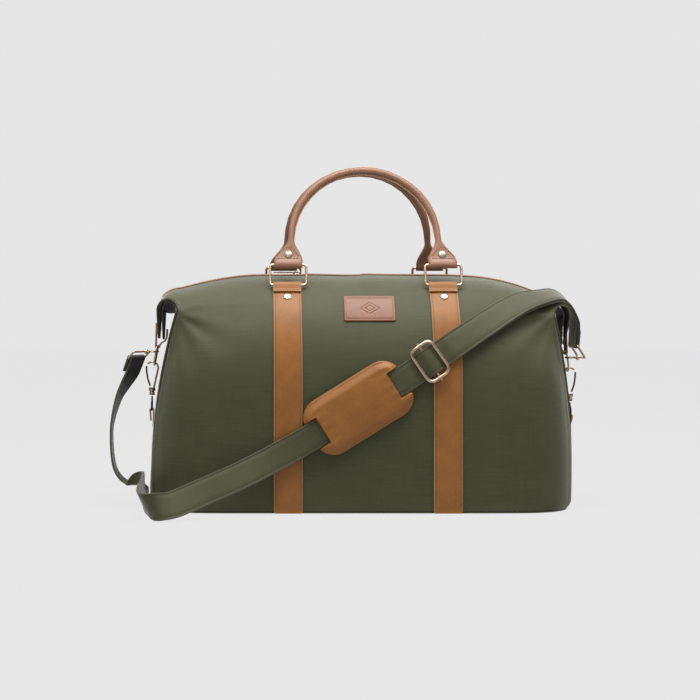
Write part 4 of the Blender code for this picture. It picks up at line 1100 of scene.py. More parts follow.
def zip_parts():
    reach = FOLD_X + WING_RUN - 0.010
    thread = Thread()
    for sign, name in FACES:
        trim, sides, ups = zip_edge(sign)
        section = flat_section(TRIM_W, TRIM_T, seam=0.0018, dip=0.0002)
        piece = ribbon("zip_edge_" + name, trim, lambda i: sides[i], section, STRIP_PAINTS)
        show(piece, "root", "leather", "zip_trim_" + name)
        for edge in (-0.0027, 0.0027):
            line = [p + side * edge + up * 0.0006 for p, side, up in zip(trim, sides, ups)]
            thread.sew(line, ups)
        tape, _ = along_ridge(sign * 0.0039, -0.0036, reach, 120)
        section = flat_section(0.0062, 0.0007, seam=0.0015, dip=0.0)
        piece = ribbon("zip_web_" + name, tape, lambda i: (0, 1, 0), section, [TAPE_PAINT] * 3)
        show(piece, "root", "zip_tape", "zip_tape_" + name)
    thread.finish("zip_stitches", "root", "leather", THREAD_PAINT)
    zip_teeth(reach)
    zip_slider_parts()


def zip_teeth(reach):
    """Two rows of interlocked teeth along the ridge."""
    pitch = 0.0021
    count = int(2 * reach / pitch)
    path, ups = along_ridge(0.0, -0.0020, reach, count)
    points, faces = [], []
    for i in range(1, count):
        ahead = ahead_at(path, i)
        side = Vector((0, 1 if i % 2 else -1, 0))
        base = len(points)
        for length, wide, tall in ((-0.0006, 0.0005, 0.0006), (0.0002, 0.00085, 0.0009),
                                   (0.0016, 0.0007, 0.0009), (0.0026, 0.0004, 0.0006)):
            middle = path[i] + side * length
            for a, b in ((-1, -1), (1, -1), (1, 1), (-1, 1)):
                points.append(middle + ahead * wide * a + ups[i] * tall * b)
        for r in range(3):
            for k in range(4):
                q, n = base + r * 4, (k + 1) % 4
                faces.append((q + k, q + n, q + 4 + n, q + 4 + k))
        faces += [(base + 3, base + 2, base + 1, base), (base + 12, base + 13, base + 14, base + 15)]
    rows = mesh_piece("zip_tooth_rows", points, faces, [TOOTH_PAINT], smooth=20)
    show(rows, "root", "zip_teeth", "zip_teeth")


def plate(name, outline, low, thick, paint, ease=0.0004):
    """A flat plate with eased edges over an outline of (x, y) pairs, at height low."""
    middle = Vector((sum(x for x, _ in outline), sum(y for _, y in outline))) / len(outline)
    rings = []
    for inset, up in ((ease, 0.0), (0.0, ease), (0.0, thick - ease), (ease, thick)):
        ring = []
        for x, y in outline:
            away = Vector((x, y)) - middle
            spot = Vector((x, y)) - away.normalized() * inset
            ring.append(Vector((spot.x, spot.y, low + up)))
        rings.append(ring)
    return loft(name, rings, [paint], smooth=30)


def rounded(points, radius, steps=5):
    """Round the corners of an outline of (x, y) pairs."""
    made = []
    for i, here in enumerate(points):
        here = Vector(here)
        before = (Vector(points[i - 1]) - here).normalized()
        after = (Vector(points[(i + 1) % len(points)]) - here).normalized()
        start, stop = here + before * radius, here + after * radius
        for k in range(steps + 1):
            t = k / steps
            spot = start * (1 - t) ** 2 + here * 2 * t * (1 - t) + stop * t * t
            made.append((spot.x, spot.y))
    return made


ZIP_START = -0.085


def zip_slider_parts():
    low = HEIGHT - 0.0011 + GAP
    outline = rounded([(ZIP_START - 0.0075, 0.0040), (ZIP_START + 0.0075, 0.0040),
                       (ZIP_START + 0.0075, -0.0040), (ZIP_START - 0.0075, -0.0040)], 0.0022)
    body = plate("zip_slider_body", outline, low, 0.0022, GOLD_PAINT, 0.0005)
    bridge = [(ZIP_START + 0.0055, 0, low + 0.0018), (ZIP_START + 0.0042, 0, low + 0.0050),
              (ZIP_START - 0.0020, 0, low + 0.0056), (ZIP_START - 0.0048, 0, low + 0.0018)]
    arch = wire("zip_bridge", catmull(bridge, 8), 0.0009, GOLD_PAINT)
    show(body, "zip_slider", "rose_gold", "zip_slider")
    show(arch, "zip_slider", "rose_gold")
    shape = [(0.0020, 0.0022), (-0.0020, 0.0028), (-0.0260, 0.0045), (-0.0310, 0.0030),
             (-0.0310, -0.0030), (-0.0260, -0.0045), (-0.0020, -0.0028), (0.0020, -0.0022)]
    outline = rounded([(ZIP_START + x, y) for x, y in shape], 0.0011, 3)
    pull = plate("zip_pull_plate", outline, low + 0.0038, 0.0014, GOLD_PAINT, 0.0003)
    show(pull, "zip_pull", "rose_gold", "zip_pull")


# ---------------------------------------------------------------- leather straps
def leather_straps():
    path = strap_path()
    at, place = strap_frame()
    thread = Thread()
    for facing, fname in FACES:
        section = flat_section(STRAP_W, LEATHER, out=facing, crown=0.0001)
        for side, sname in SIDES:
            x = side * STRAP_X
            centres = [Vector((x, facing * y, z)) for y, z in path]
            piece = ribbon("belt_%s_%s" % (fname, sname), centres, lambda i: (1, 0, 0), section,
                           [LEATHER_PAINT, EDGE_PAINT, LEATHER_PAINT])
            show(piece, "root", "leather", "strap_%s_%s" % (fname, sname))

            def spot(along, lift, across):
                y, z = place(along, lift)
                return Vector((x + across, facing * y, z))

            def sew(a, b, lift, across_a, across_b, count):
                line = [spot(a + (b - a) * k / count, lift, across_a + (across_b - across_a) * k / count)
                        for k in range(count + 1)]
                ups = [spot(a + (b - a) * k / count, 0.01, 0) - spot(a + (b - a) * k / count, 0.0, 0)
                       for k in range(count + 1)]
                thread.sew(line, ups)
            inner = STRAP_W / 2 - 0.0026
            top = GAP + LEATHER - 0.0002
            for edge in (-inner, inner):
                sew(0.0060, at - FOLD_BACK - 0.001, top, edge, edge, 60)
                sew(at - FOLD_BACK + 0.0026, at - 0.004, top + LEATHER + GAP, edge, edge, 4)
            sew(at - FOLD_BACK + 0.0020, at - FOLD_BACK + 0.0020, top + LEATHER + GAP, -inner, inner, 4)
            sew(0.0045, 0.0045, top, -inner, inner, 4)
            rise = place(at - FOLD_BACK - 0.0075, 0.01)
            foot = place(at - FOLD_BACK - 0.0075, GAP + LEATHER)
            out = Vector((0, facing * (rise[0] - foot[0]), rise[1] - foot[1])).normalized()
            dome(("belt_rivet_%s_%s" % (fname, sname)), Vector((x, facing * foot[0], foot[1])), out, "root",
                 "strap_rivet_%s_%s" % (fname, sname))
    thread.finish("belt_stitches", "root", "leather", THREAD_PAINT)


def dome(name, foot, out, body, *nodes, radius=0.0054, tall=0.0021):
    """A rivet's cap with a rolled rim and a low dome."""
    profile = [(radius * 0.30, -0.0022), (radius * 0.34, 0.0), (radius * 0.96, 0.0001), (radius, 0.0005),
               (radius * 0.97, 0.0009)]
    for k in range(1, 9):
        turn = math.pi / 2 * k / 9
        profile.append((radius * 0.93 * math.cos(turn), 0.0009 + (tall - 0.0009) * math.sin(turn)))
    profile.append((0.0002, tall))
    return show(lathe(name, profile, foot, out, RIVET_PAINT), body, "rivets", *nodes)


def rings_of_wire():
    """The four rectangular rings that join the straps to the handles."""
    bar_y, bar_z = ring_bar()
    lean = handle_lean()
    outline = round_box(RING_W / 2, RING_H / 2, 0.0035, first=-90)
    for facing, fname in FACES:
        for side, sname in SIDES:
            x = side * STRAP_X + RING_PLAY[facing]
            points = [leaning(x, facing, bar_y, bar_z, lean, a, b + RING_H / 2) for a, b in outline]
            piece = wire("link_%s_%s" % (fname, sname), points, BAR_R, GOLD_PAINT, cyclic=True, passes=1)
            show(piece, "%s_ring_%s" % (fname, sname), "rose_gold", "ring_%s_%s" % (fname, sname))


# ---------------------------------------------------------------- handles
SEAM_RIDGE = 0.0019         # two cut edges stand this far out along the inside of a handle
TURNS = sorted(set([15 * k for k in range(-11, 13)]) | {-9, -6, -3, 3, 6, 9})


def handles():
    bar_y, bar_z = ring_bar()
    lean = handle_lean()
    for facing, fname in FACES:
        thread = Thread(0.0040, 0.0029, 0.00036)
        stations = handle_stations()
        rings, seam, seam_up = [], [], []
        play = RING_PLAY[facing]

        def spot(across, up, out=0.0):
            return leaning(play, facing, bar_y, bar_z, lean, across, RING_H + up, out)
        for i, (x, up) in enumerate(stations):
            before, after = stations[max(i - 1, 0)], stations[min(i + 1, len(stations) - 1)]
            dx, du = after[0] - before[0], after[1] - before[1]
            size = math.hypot(dx, du)
            side_x, side_u = du / size, -dx / size
            half_w, half_t = handle_profile(up)
            straight = 1 - smooth_step((up - 0.024) / 0.010)
            side_x += (math.copysign(1.0, du) - side_x) * straight
            side_u *= 1 - straight
            raised = smooth_step((up - 0.030) / 0.012)
            crease = 1 - 0.10 * math.exp(-((up - 0.0078) / 0.0011) ** 2)
            worn = 1 + 0.03 * noise.noise(Vector((x * 30, up * 30, facing)))
            ring = []
            for degrees in TURNS:
                turn = math.radians(degrees)
                c, s = math.cos(turn), math.sin(turn)
                blunt = 0.6 + 0.4 * smooth_step((up - 0.020) / 0.016)
                a = math.copysign(abs(c) ** blunt, c) * half_w * (worn if up > 0.03 else 1)
                b = math.copysign(abs(s) ** blunt, s) * half_t * crease * (worn if up > 0.03 else 1)
                a += SEAM_RIDGE * raised * math.exp(-(degrees / 10.5) ** 4)
                ring.append(spot(x + side_x * a, up + side_u * a, b))
            rings.append(ring)
            if up > 0.040:
                turn = math.radians(24)
                a, b = half_w * math.cos(turn) + 0.0001, half_t * math.sin(turn)
                seam.append(spot(x + side_x * a, up + side_u * a, b))
                seam_up.append(spot(x + side_x * 2 * a, up + side_u * 2 * a, 2 * b) - spot(x, up))
        skin = [2 if abs((TURNS[j] + TURNS[(j + 1) % len(TURNS)]) / 2) < 8 and j < len(TURNS) - 1 else 0
                for j in range(len(TURNS))]
        made = loft("grip_" + fname, rings, [HANDLE_PAINT, EDGE_PAINT, EDGE_PAINT], skin, smooth=60)
        for side, sname in SIDES:
            low = spot(side * STRAP_X - 0.03, 0)
            bar = lathe("bar_hole_" + fname + sname, [(BAR_R + BAR_CLEAR, 0), (BAR_R + BAR_CLEAR, 0.06)],
                        low, (1, 0, 0), EDGE_PAINT, 20)
            cut(made, bar)
            for way in (-1, 1):
                out = leaning(0, facing, 0, 0, lean, 0, 0, way)
                place = spot(side * (STRAP_X - 0.0006), RIVET_UP, way * (0.0027 + GAP / 2))
                face = "outer" if way > 0 else "inner"
                stands = ["handle_rivet_%s_%s" % (fname, sname)] if way > 0 else []
                dome("grip_rivet_%s_%s_%s" % (fname, sname, face), place, out, fname + "_handle", *stands,
                     radius=0.0048, tall=0.0018)
            for way in (-1, 1):
                half = handle_profile(0.0078)[0] - 0.0022
                start = side * STRAP_X - half
                line = [spot(start + 2 * half * k / 8, 0.0078, way * 0.0029) for k in range(9)]
                thread.sew(line, [leaning(0, facing, 0, 0, lean, 0, 0, way)] * 9)
                line = []
                for k in range(25):
                    turn = math.pi * k / 24
                    up = 0.0098 + 0.0145 * math.sin(turn)
                    wide = min(handle_profile(up)[0] - 0.0022, 0.0165)
                    line.append(spot(side * STRAP_X + wide * math.cos(turn), up,
                                     way * (handle_profile(up)[1] * 0.98)))
                thread.sew(line, [leaning(0, facing, 0, 0, lean, 0, 0, way)] * 25)
        thread.sew(seam, seam_up)
        show(made, fname + "_handle", "handle_leather", "handle_" + fname)
        thread.finish("grip_stitches_" + fname, fname + "_handle", "handle_leather", THREAD_PAINT)


# ---------------------------------------------------------------- label
LABEL_AT = (0.0040, 0.25625)        # the patch's middle on the front
LABEL_SIZE = (0.065, 0.0315)
LABEL_CORNER = 0.0025
LABEL_SEAM = 0.0027                 # thread line from the patch's edge
DIAMONDS = (0.0036, 0.0072)         # half heights of the pressed diamonds
DIAMOND_SLANT = 1.7                 # their width over their height


def label_height(a, b):
    """Thickness of the patch at a place from its middle, with its worn edge, seam and pressed mark."""
    wide, tall = LABEL_SIZE
    edge = min(wide / 2 - abs(a), tall / 2 - abs(b))
    rise = 0.0016 - 0.0006 * (1 - smooth_step(edge / 0.0010))
    rise -= 0.0003 * math.exp(-((edge - LABEL_SEAM) / 0.0006) ** 2)
    mark = abs(a) / DIAMOND_SLANT + abs(b)
    return rise - sum(0.00045 * math.exp(-((mark - size) / 0.00042) ** 2) for size in DIAMONDS)


def label():
    """A stitched patch with a plain pressed mark: a small diamond inside a larger one."""
    across, along = 132, 66
    wide, tall = LABEL_SIZE

    def on_label(a, b):
        return front_at(LABEL_AT[0] + a, LABEL_AT[1] + b)
    top, bottom = [], []
    for j in range(along + 1):
        row, under = [], []
        for i in range(across + 1):
            a, b = (i / across - 0.5) * wide, (j / along - 0.5) * tall
            past = [max(abs(c) - size / 2 + LABEL_CORNER, 0.0) for c, size in ((a, wide), (b, tall))]
            over = max(math.hypot(*past) - LABEL_CORNER, 0.0)
            shrink = 1 - over / max(math.hypot(a, b), 1e-6)
            a, b = a * shrink, b * shrink
            place, normal = on_label(a, b)
            row.append(tuple(place + normal * (GAP + label_height(a, b))))
            under.append(tuple(place + normal * GAP))
        top.append(row)
        bottom.append(under)

    def pressed(u, v):
        mark = abs(u - 0.5) * wide / DIAMOND_SLANT + abs(v - 0.5) * tall
        return 1 if min(abs(mark - size) for size in DIAMONDS) < 0.00040 else 0
    piece = slab("patch", np.array(top), np.array(bottom), [LABEL_PAINT, PRESSED_PAINT], pressed)
    show(piece, "root", "label_leather", "label_patch")
    thread = Thread(0.0036, 0.0026, 0.00032)
    a, b = wide / 2 - LABEL_SEAM, tall / 2 - LABEL_SEAM
    line = [(-a, -b), (a, -b), (a, b), (-a, b), (-a, -b)]
    for (x0, z0), (x1, z1) in zip(line, line[1:]):
        spots = [on_label(x0 + (x1 - x0) * k / 12, z0 + (z1 - z0) * k / 12) for k in range(13)]
        thread.sew([p + n * (GAP + 0.0014) for p, n in spots], [n for _, n in spots])
    thread.finish("patch_stitches", "root", "label_leather", THREAD_PAINT)


FRONT_LINE = section_line(0.0, 900)


def front_at(x, z):
    """Point and outward normal of the front face near the middle of the bag."""
    run, _, height = FRONT_LINE
    y, z, out, up = on_line(FRONT_LINE, float(np.interp(z, height, run)), 0.002)
    return Vector((x, -y, z)), Vector((0, -out, up)).normalized()


# ---------------------------------------------------------------- wing tabs, rings and hooks
TAB_THICK = 0.0018


def side_ribbon(name, side, path, width, thread):
    """A narrow leather tab folded round a wire, with thread along both edges."""
    centres = even_line(on_side(side, path), 0.0006, passes=4)
    section = flat_section(width, TAB_THICK, seam=0.0020, dip=0.0002)
    piece = ribbon(name, centres, lambda i: (0, 1, 0), section, STRIP_PAINTS)
    for way in (-1, 1):
        line, ups = [], []
        for i in range(3, int(len(centres) * 0.30)):
            ahead = ahead_at(centres, i)
            up = Vector((side * abs(ahead.z), 0, -ahead.x * math.copysign(1, ahead.z) * side)).normalized()
            line.append(centres[i] + Vector((0, way * (width / 2 - 0.0020), 0)) + up * TAB_THICK * 0.48)
            ups.append(up)
        thread.sew(line, ups)
    return piece


def on_side(side, path):
    """Places of a side's middle plane from (out, up) pairs, lowered with its wing."""
    return [Vector((side * x, 0, z + WING_SHIFT[side])) for x, z in path]


def wing_tab_and_ring(side, sname, thread):
    """The leather tab on the zip's end and the D-ring that hangs in it."""
    eye = LINK_R + BAR_CLEAR + TAB_THICK / 2
    tab = [(0.2716, 0.2380), (0.2716, 0.2300), (0.2718, 0.2220), (0.2722, 0.2140)]
    tab += arc_points(TAB_BAR, eye, 20, -200, 24)
    tab += [(0.2646, 0.2120), (0.2604, 0.2140), (0.2582, 0.2180), (0.2575, 0.2240), (0.2573, 0.2300)]
    piece = side_ribbon("wing_strip_" + sname, side, tab, 0.018, thread)
    show(piece, "root", "leather", "wing_tab_" + sname)

    half, corner = 0.0145, 0.006
    foot = TAB_BAR[1] - RING_FOOT[1]
    flat = [(half - corner, 0)]
    flat += [(y, down) for y, down in arc_points((half - corner, corner), corner, -80, 0, 8)]
    flat += arc_points((0, foot - half), half, 0, 90, 15)
    outline = flat + [(-y, down) for y, down in reversed(flat[:-1])]
    slope = (RING_FOOT[0] - TAB_BAR[0]) / foot
    points = [(side * (TAB_BAR[0] + slope * down), y, TAB_BAR[1] + WING_SHIFT[side] - down)
              for y, down in outline]
    piece = wire("d_ring_" + sname, points, LINK_R, GOLD_PAINT, cyclic=True, passes=1)
    show(piece, "wing_ring_" + sname, "rose_gold", "wing_ring_" + sname)


def side_hook(side, sname):
    """A snap hook on the wing ring, with its sprung gate."""
    neck = (HOOK_BASE[0], HOOK_BASE[1] + 0.002)
    wall = arc_points(HOOK_EYE, EYE_R, -20, 200, 28)
    body = [(neck[0] - 0.0022, neck[1])] + wall[::-1][:len(wall) - 8]
    hook = wire("hook_wire_" + sname, on_side(side, body), LINK_R, GOLD_PAINT)
    profile = [(0.0026, -0.0068), (0.0036, -0.0064), (0.0036, -0.0030), (0.0029, -0.0024), (0.0029, -0.0016),
               (0.0044, -0.0008), (0.0046, 0.0004), (0.0042, 0.0032), (0.0030, 0.0036)]
    base = lathe("hook_base_" + sname, profile, on_side(side, [HOOK_BASE])[0], (0, 0, 1), GOLD_PAINT)
    piece = joined("snap_hook_" + sname, hook, base, GOLD_PAINT)
    show(piece, "side_hook_" + sname, "rose_gold", "side_hook_" + sname)
    foot = (neck[0] + 0.0024, neck[1] + 0.0036)
    meeting = arc_points(HOOK_EYE, EYE_R, -20 + 220 * 2.4 / 14, 90, 1)[0]
    gate = [foot, (foot[0] + 0.0035, foot[1] + 0.0100), wall[0], meeting]
    piece = wire("snap_gate_" + sname, on_side(side, gate), LINK_R * 0.9, BRONZE_PAINT, passes=4)
    show(piece, "side_gate_" + sname, "rose_gold", "side_gate_" + sname)


def side_link(side, sname, thread):
    """The square loop under the hook and the leather tab that holds it to the gusset."""
    half, neck, ease = 0.0065, 0.0018, 0.0015
    top, low = LOOP_TOP[1], LOOP_FOOT[1]
    loop = [(-neck, top + 0.0050), (-neck, top + 0.001), (-half, top - ease), (-half, low + ease),
            (-half + ease, low)]
    loop += [(-y, z) for y, z in reversed(loop)]
    slope = (LOOP_TOP[0] - LOOP_FOOT[0]) / (top - low)
    points = [(side * (LOOP_FOOT[0] + slope * (z - low)), y, z + WING_SHIFT[side]) for y, z in loop]
    wire_r = LINK_R * 0.85
    piece = wire("square_link_" + sname, points, wire_r, BRONZE_PAINT, cyclic=True, passes=2)
    show(piece, "root", "dark_metal", "side_loop_" + sname)

    eye = wire_r + BAR_CLEAR + TAB_THICK / 2
    on_gusset = gusset_mid(side, 0.100 + WING_SHIFT[side]) + TAB_THICK / 2 + GAP
    inner_x = LOOP_FOOT[0] - eye
    half_way = (on_gusset + inner_x) / 2
    tab = [(on_gusset, 0.1000), (half_way, 0.1085), (inner_x, 0.1180)]
    tab += arc_points(LOOP_FOOT, eye, 200, -20, 24)
    tab += [(inner_x + 0.0042, 0.1180), (half_way + 0.0036, 0.1085)]
    piece = side_ribbon("link_strip_" + sname, side, tab, 0.010, thread)
    show(piece, "root", "leather", "side_tab_" + sname)


def wing_ends():
    thread = Thread(0.0036, 0.0026, 0.0003)
    for side, sname in SIDES:
        wing_tab_and_ring(side, sname, thread)
        side_hook(side, sname)
        side_link(side, sname, thread)
    thread.finish("tab_stitches", "root", "leather", THREAD_PAINT)


# ---------------------------------------------------------------- shoulder strap
def strap_course():
    """The strap's whole course in fine steps: main run with both wraps, and the doubled return."""
    middle, edge, normals = strap_lines()
    slider = middle[SLIDER_AT * STEPS]
    main = []
    for i in range(len(middle) - 1):
        for k in range(4):
            t = k / 4
            place = middle[i].lerp(middle[i + 1], t)
            up = normals[i].lerp(normals[i + 1], t).normalized()
            main.append((place + up * strap_hump((place - slider).length), edge[i].lerp(edge[i + 1], t)))
    main.append((middle[-1], edge[-1]))
    bar_x, bar_z = far_bar(-1)
    y = CLASP[1]
    left_edge = Vector((math.sin(LOOP_TURN[-1]), -math.cos(LOOP_TURN[-1]), 0))
    head = [(turned(-1, (x, y, z)), left_edge) for x, z in ((-0.3085, 0.1750), (-0.3050, 0.1840))]
    for k in range(25):
        turn = math.radians(165 - 195 * k / 24)
        spot = (bar_x + WRAP_R * math.cos(turn), y, bar_z + WRAP_R * math.sin(turn))
        head.append((turned(-1, spot), left_edge))
    bar_x, bar_z = far_bar(1)
    y = middle[-1].y
    tail = []
    for k in range(25):
        turn = math.radians(10 - 200 * k / 24)
        spot = Vector((bar_x + WRAP_R * math.cos(turn), y, bar_z + WRAP_R * math.sin(turn)))
        tail.append((spot, Vector((0, 1, 0))))
    back = []
    last = len(middle) - 1
    for i in range(last, SLIDER_AT * STEPS, -1):
        near = smooth_step((last - i) / 5)
        lift = (WEB_T + 0.0004) + (2 * WRAP_R - WEB_T - 0.0004) * (1 - near)
        lift += 0.0020 * smooth_step(2.4 - (middle[i] - slider).length / 0.014)
        back.append((middle[i] - normals[i] * lift, edge[i]))
    return head + main + tail, back


def web_ribbon(name, course, thread):
    """A length of the strap: canvas over, dark backing under, thread beside both edges."""
    places = [p for p, _ in course]
    section = flat_section(WEB_W, WEB_T, out=1.0, seam=0.0030, dip=0.00035)
    piece = ribbon(name, places, lambda i: course[i][1], section, [WEB_PAINT, WEB_PAINT, WEB_UNDER])
    for way in (-1, 1):
        line, ups = [], []
        for i in range(1, len(course) - 1):
            ahead = ahead_at(places, i)
            wide = squared(course[i][1], ahead)
            up = ahead.cross(wide)
            line.append(places[i] + wide * way * (WEB_W / 2 - 0.0030) + up * (WEB_T / 2 - 0.0003))
            ups.append(up)
        thread.sew(line, ups)
    return piece


def shoulder_strap():
    course, back = strap_course()
    thread = Thread(0.0040, 0.0030, 0.00036)
    main = web_ribbon("strap_web", course, thread)
    joint = course[-1:] + back
    under = web_ribbon("strap_return", joint, thread)
    show(main, "root", "strap_canvas", "shoulder_strap")
    show(under, "root", "strap_canvas", "shoulder_strap")
    stitches = thread.finish("strap_stitches", "root", "strap_canvas", GREEN_THREAD)
    path = [p for p, _ in course]
    return main, under, stitches, path


BUCKLE_R = 0.0021           # wire of the buckle's frame


def slider():
    """A wire frame over the strap and a bar under it."""
    here, along, across, up = strap_frame_at(SLIDER_AT)
    frame = round_box(*SLIDER_HALF, SLIDER_CORNER)
    points = [here + across * a + along * b + up * SLIDER_LIFT for a, b in frame]
    buckle = wire("buckle_frame", points, BUCKLE_R, GOLD_PAINT, cyclic=True, passes=1)
    low = SLIDER_LIFT - SLIDER_R - SLIDER_BAR_R - GAP
    bar = [here + across * a + up * low for a in (-SLIDER_BAR, SLIDER_BAR)]
    rod = wire("buckle_bar", bar, SLIDER_BAR_R, GOLD_PAINT)
    show(buckle, "root", "rose_gold", "slider_frame")
    show(rod, "root", "rose_gold", "slider_bar")
    return [buckle, rod]


PAD_HALF = (0.069, 0.0375)
PAD_CORNER = 0.026
PAD_SEAM = 0.0028           # the seam's distance from the pad's edge
PAD_SLOT = 0.0515           # the strap enters the pad this far from its middle
PAD_WINDOW = 0.0185         # half width of the cut-out at each end


def pad():
    """A crowned leather pad: a back sheet and a stitched cover, with the strap threaded between."""
    here, along, across, up = strap_frame_at(PAD_AT)
    half_l, half_a = PAD_HALF
    steps_l, steps_a = 150, 84
    lengths = []
    for i in range(steps_l + 1):
        t = 2 * i / steps_l - 1
        lengths.append(half_l * math.copysign(1 - (1 - abs(t)) ** 1.35, t))

    def width_at(a):
        past = max(abs(a) - (half_l - PAD_CORNER), 0.0)
        return half_a - PAD_CORNER + math.sqrt(max(PAD_CORNER ** 2 - past ** 2, 0.0))

    def grid(height):
        made = []
        for a in lengths:
            wide = width_at(a)
            row = []
            for j in range(steps_a + 1):
                b = (2 * j / steps_a - 1) * wide
                edge = min(half_l - abs(a), wide - abs(b))
                row.append(tuple(here + along * a + across * b + up * height(a, b, edge)))
            made.append(row)
        return np.array(made)

    def covered(a, b):
        """1 where the strap's window is open, past the slots."""
        past_slot = smooth_step((abs(a) - PAD_SLOT + 0.0002) / 0.0012)
        return past_slot * smooth_step((PAD_WINDOW - abs(b)) / 0.0012)

    def top(a, b, edge):
        rise = -0.0014 + 0.0050 * smooth_step((edge + 0.0005) / 0.0120)
        rise += 0.0042 * (1 - (b / half_a) ** 2) * (1 - 0.75 * (a / half_l) ** 2)
        rise -= 0.0003 * math.exp(-((edge - PAD_SEAM) / 0.0007) ** 2)
        rise += 0.0004 * noise.noise(Vector((a * 45, b * 60, 1.7)))
        rise += 0.0003 * math.sin(b * 520) * math.exp(-((abs(a) - PAD_SLOT) / 0.012) ** 2)
        rise -= 0.0006 * (1 - smooth_step(edge / 0.0010))
        return rise + (-0.0017 - rise) * covered(a, b)

    def under(a, b, edge):
        over_strap = smooth_step((PAD_WINDOW + 0.0010 - abs(b)) / 0.0015) * (1 - covered(a, b))
        return -0.0020 + 0.0036 * over_strap
    cover = slab("pad_top", grid(top), grid(under), [LEATHER_PAINT])
    back = slab("pad_back", grid(lambda a, b, edge: -0.0022 - 0.0004 * (edge < 0.0006)),
                grid(lambda a, b, edge: -0.0050 + 0.0007 * (1 - smooth_step(edge / 0.0015))), [LEATHER_PAINT])
    show(cover, "root", "leather", "pad_cover")
    show(back, "root", "leather", "shoulder_pad")
    thread = Thread(0.0040, 0.0029, 0.00036)
    outline = round_box(half_l, half_a, PAD_CORNER, inset=PAD_SEAM)
    for run in (outline[:18], outline[18:]):
        stop = math.copysign(0.0205, run[0][1])
        extended = [(run[0][0], stop)] + run + [(run[-1][0], stop)]
        line, ups = [], []
        for (a0, b0), (a1, b1) in zip(extended, extended[1:]):
            for k in range(6):
                a, b = a0 + (a1 - a0) * k / 6, b0 + (b1 - b0) * k / 6
                line.append(here + along * a + across * b + up * (top(a, b, PAD_SEAM) + 0.0002))
                ups.append(up)
        thread.sew(line, ups)
    stitches = thread.finish("pad_stitches", "root", "leather", TAN_THREAD)
    return [cover, back, stitches]


def strap_ends():
    """At each end: a clasp with a sprung gate round the wing ring, and a swivelling loop."""
    made = []
    for side, sname in SIDES:
        x, y, z = side * CLASP[0], CLASP[1], CLASP[2] + WING_SHIFT[side]

        def claw(start, stop, count):
            return [(x + side * px, y + py, z) for px, py in arc_points((0, 0), CLASP_R, start, stop, count)]
        ring = wire("claw_wire_" + sname, claw(-60, 200, 40), 0.0012, GOLD_PAINT, passes=1)
        knob = lathe("knob_" + sname,
                     [(0.0016, -0.0012), (0.0029, 0.0002), (0.0032, 0.0010), (0.0032, KNOB - 0.0004),
                      (0.0024, KNOB), (0.0020, KNOB + 0.0003)],
                     (x + side * CLASP_R, y, z), (side, 0, 0), BRONZE_PAINT)
        body = joined("claw_" + sname, ring, knob, GOLD_PAINT)
        show(body, "root", "rose_gold", "strap_clasp_" + sname)
        gate = wire("claw_gate_" + sname, claw(210, 290, 24), 0.0011, GOLD_PAINT, passes=1)
        show(gate, "strap_gate_" + sname, "rose_gold", "strap_gate_" + sname)
        away = LOOP_AWAY[side]
        size = math.hypot(*away)
        points = []
        for over, down in round_box(0.0205, size / 2, 0.0030):
            share = down / size + 0.5
            points.append(turned(side, (side * (LOOP_NEAR + away[0] * share), y + over, z + away[1] * share)))
        link = wire("strap_link_" + sname, points, LINK_R, GOLD_PAINT, cyclic=True, passes=1)
        show(link, "root", "rose_gold", "strap_loop_" + sname)
        made += [body, gate, link]
    return made


# ---------------------------------------------------------------- stage
BACKDROP = 0.791            # the pale grey of the surroundings
FLOOR_GLOW = 0.763
LIGHTS = (                  # name, place, target, size, power and tint
    ("top_light", (0.1, -0.50, 1.9), (0, 0, 0.2), (1.6, 1.1), 57.0, (1.0, 0.985, 0.965)),
    ("front_light", (-0.9, -2.2, 1.0), (0, 0, 0.15), (1.2, 1.0), 1.6, (1.0, 0.96, 0.93)),
    ("left_light", (-1.8, 0.1, 0.7), (0, 0, 0.2), (0.8, 1.2), 3.0, (0.97, 0.98, 1.0)),
    ("back_light", (0.6, 1.7, 1.3), (0, 0, 0.2), (1.4, 1.0), 9.0, (1.0, 1.0, 1.0)),
)


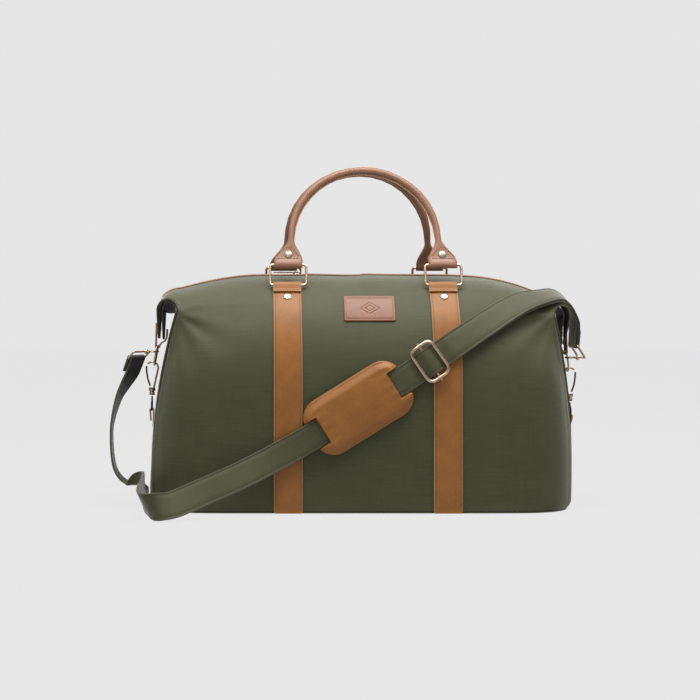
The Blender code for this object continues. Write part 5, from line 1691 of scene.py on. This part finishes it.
def surround():
    """A backdrop of one pale grey, with soft light that comes mostly from above."""
    world = bpy.data.worlds.new("surround")
    bpy.context.scene.world = world
    world.use_nodes = True
    sky = Nodes(world.node_tree)
    height = sky.add("SeparateXYZ", {0: sky.add("TexCoord").outputs["Generated"]}).outputs[2]
    strength = sky.add("MapRange", {0: height, 1: -0.10, 2: 0.9, 3: 0.01, 4: 0.90}).outputs[0]
    glow = sky.add("Background", {0: (1.0, 1.0, 1.0, 1.0), 1: strength}).outputs[0]
    seen = sky.set(sky.tree.nodes["Background"], {0: (BACKDROP, BACKDROP, BACKDROP, 1.0)}).outputs[0]
    is_seen = sky.add("LightPath").outputs["Is Camera Ray"]
    mixed = sky.add("MixShader", {0: is_seen, 1: glow, 2: seen}).outputs[0]
    sky.set(sky.tree.nodes["World Output"], {0: mixed})


def stage():
    """A plain pale floor, a pale surround and soft lights from above."""
    bpy.context.scene.view_settings.view_transform = "Standard"
    surround()
    far, low = 9, -0.0003
    mesh = bpy.data.meshes.new("floor")
    corners = [(-far, -far, low), (far, -far, low), (far, far, low), (-far, far, low)]
    mesh.from_pydata(corners, [], [(0, 1, 2, 3)])
    paint = Paint("pale_floor", (0.020, 0.020, 0.020), 1.0, specular=0.0)
    paint.set(paint.shader, {"Emission Color": (1.0, 1.0, 1.0, 1.0), "Emission Strength": FLOOR_GLOW})
    new_object("floor", mesh, [paint.made])

    for name, place, target, size, power, tint in LIGHTS:
        lamp = bpy.data.lights.new(name, "AREA")
        lamp.shape = "RECTANGLE"
        lamp.size, lamp.size_y = size
        lamp.energy = power
        lamp.color = tint
        obj = bpy.data.objects.new(name, lamp)
        bpy.context.scene.collection.objects.link(obj)
        obj.location = place
        obj.rotation_euler = (Vector(target) - Vector(place)).to_track_quat("-Z", "Y").to_euler()


# ---------------------------------------------------------------- the object
panels()
gussets()
base_parts()
zip_parts()
leather_straps()
rings_of_wire()
handles()
label()
wing_ends()
strap_piece, strap_back, strap_thread, strap_line = shoulder_strap()
on_strap = [strap_back, strap_thread] + slider() + pad() + strap_ends()
STRAP_LENGTH = run_of(strap_line)[-1]
tuple(strap_line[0])
[tuple(p) for p in strap_line]
stage()
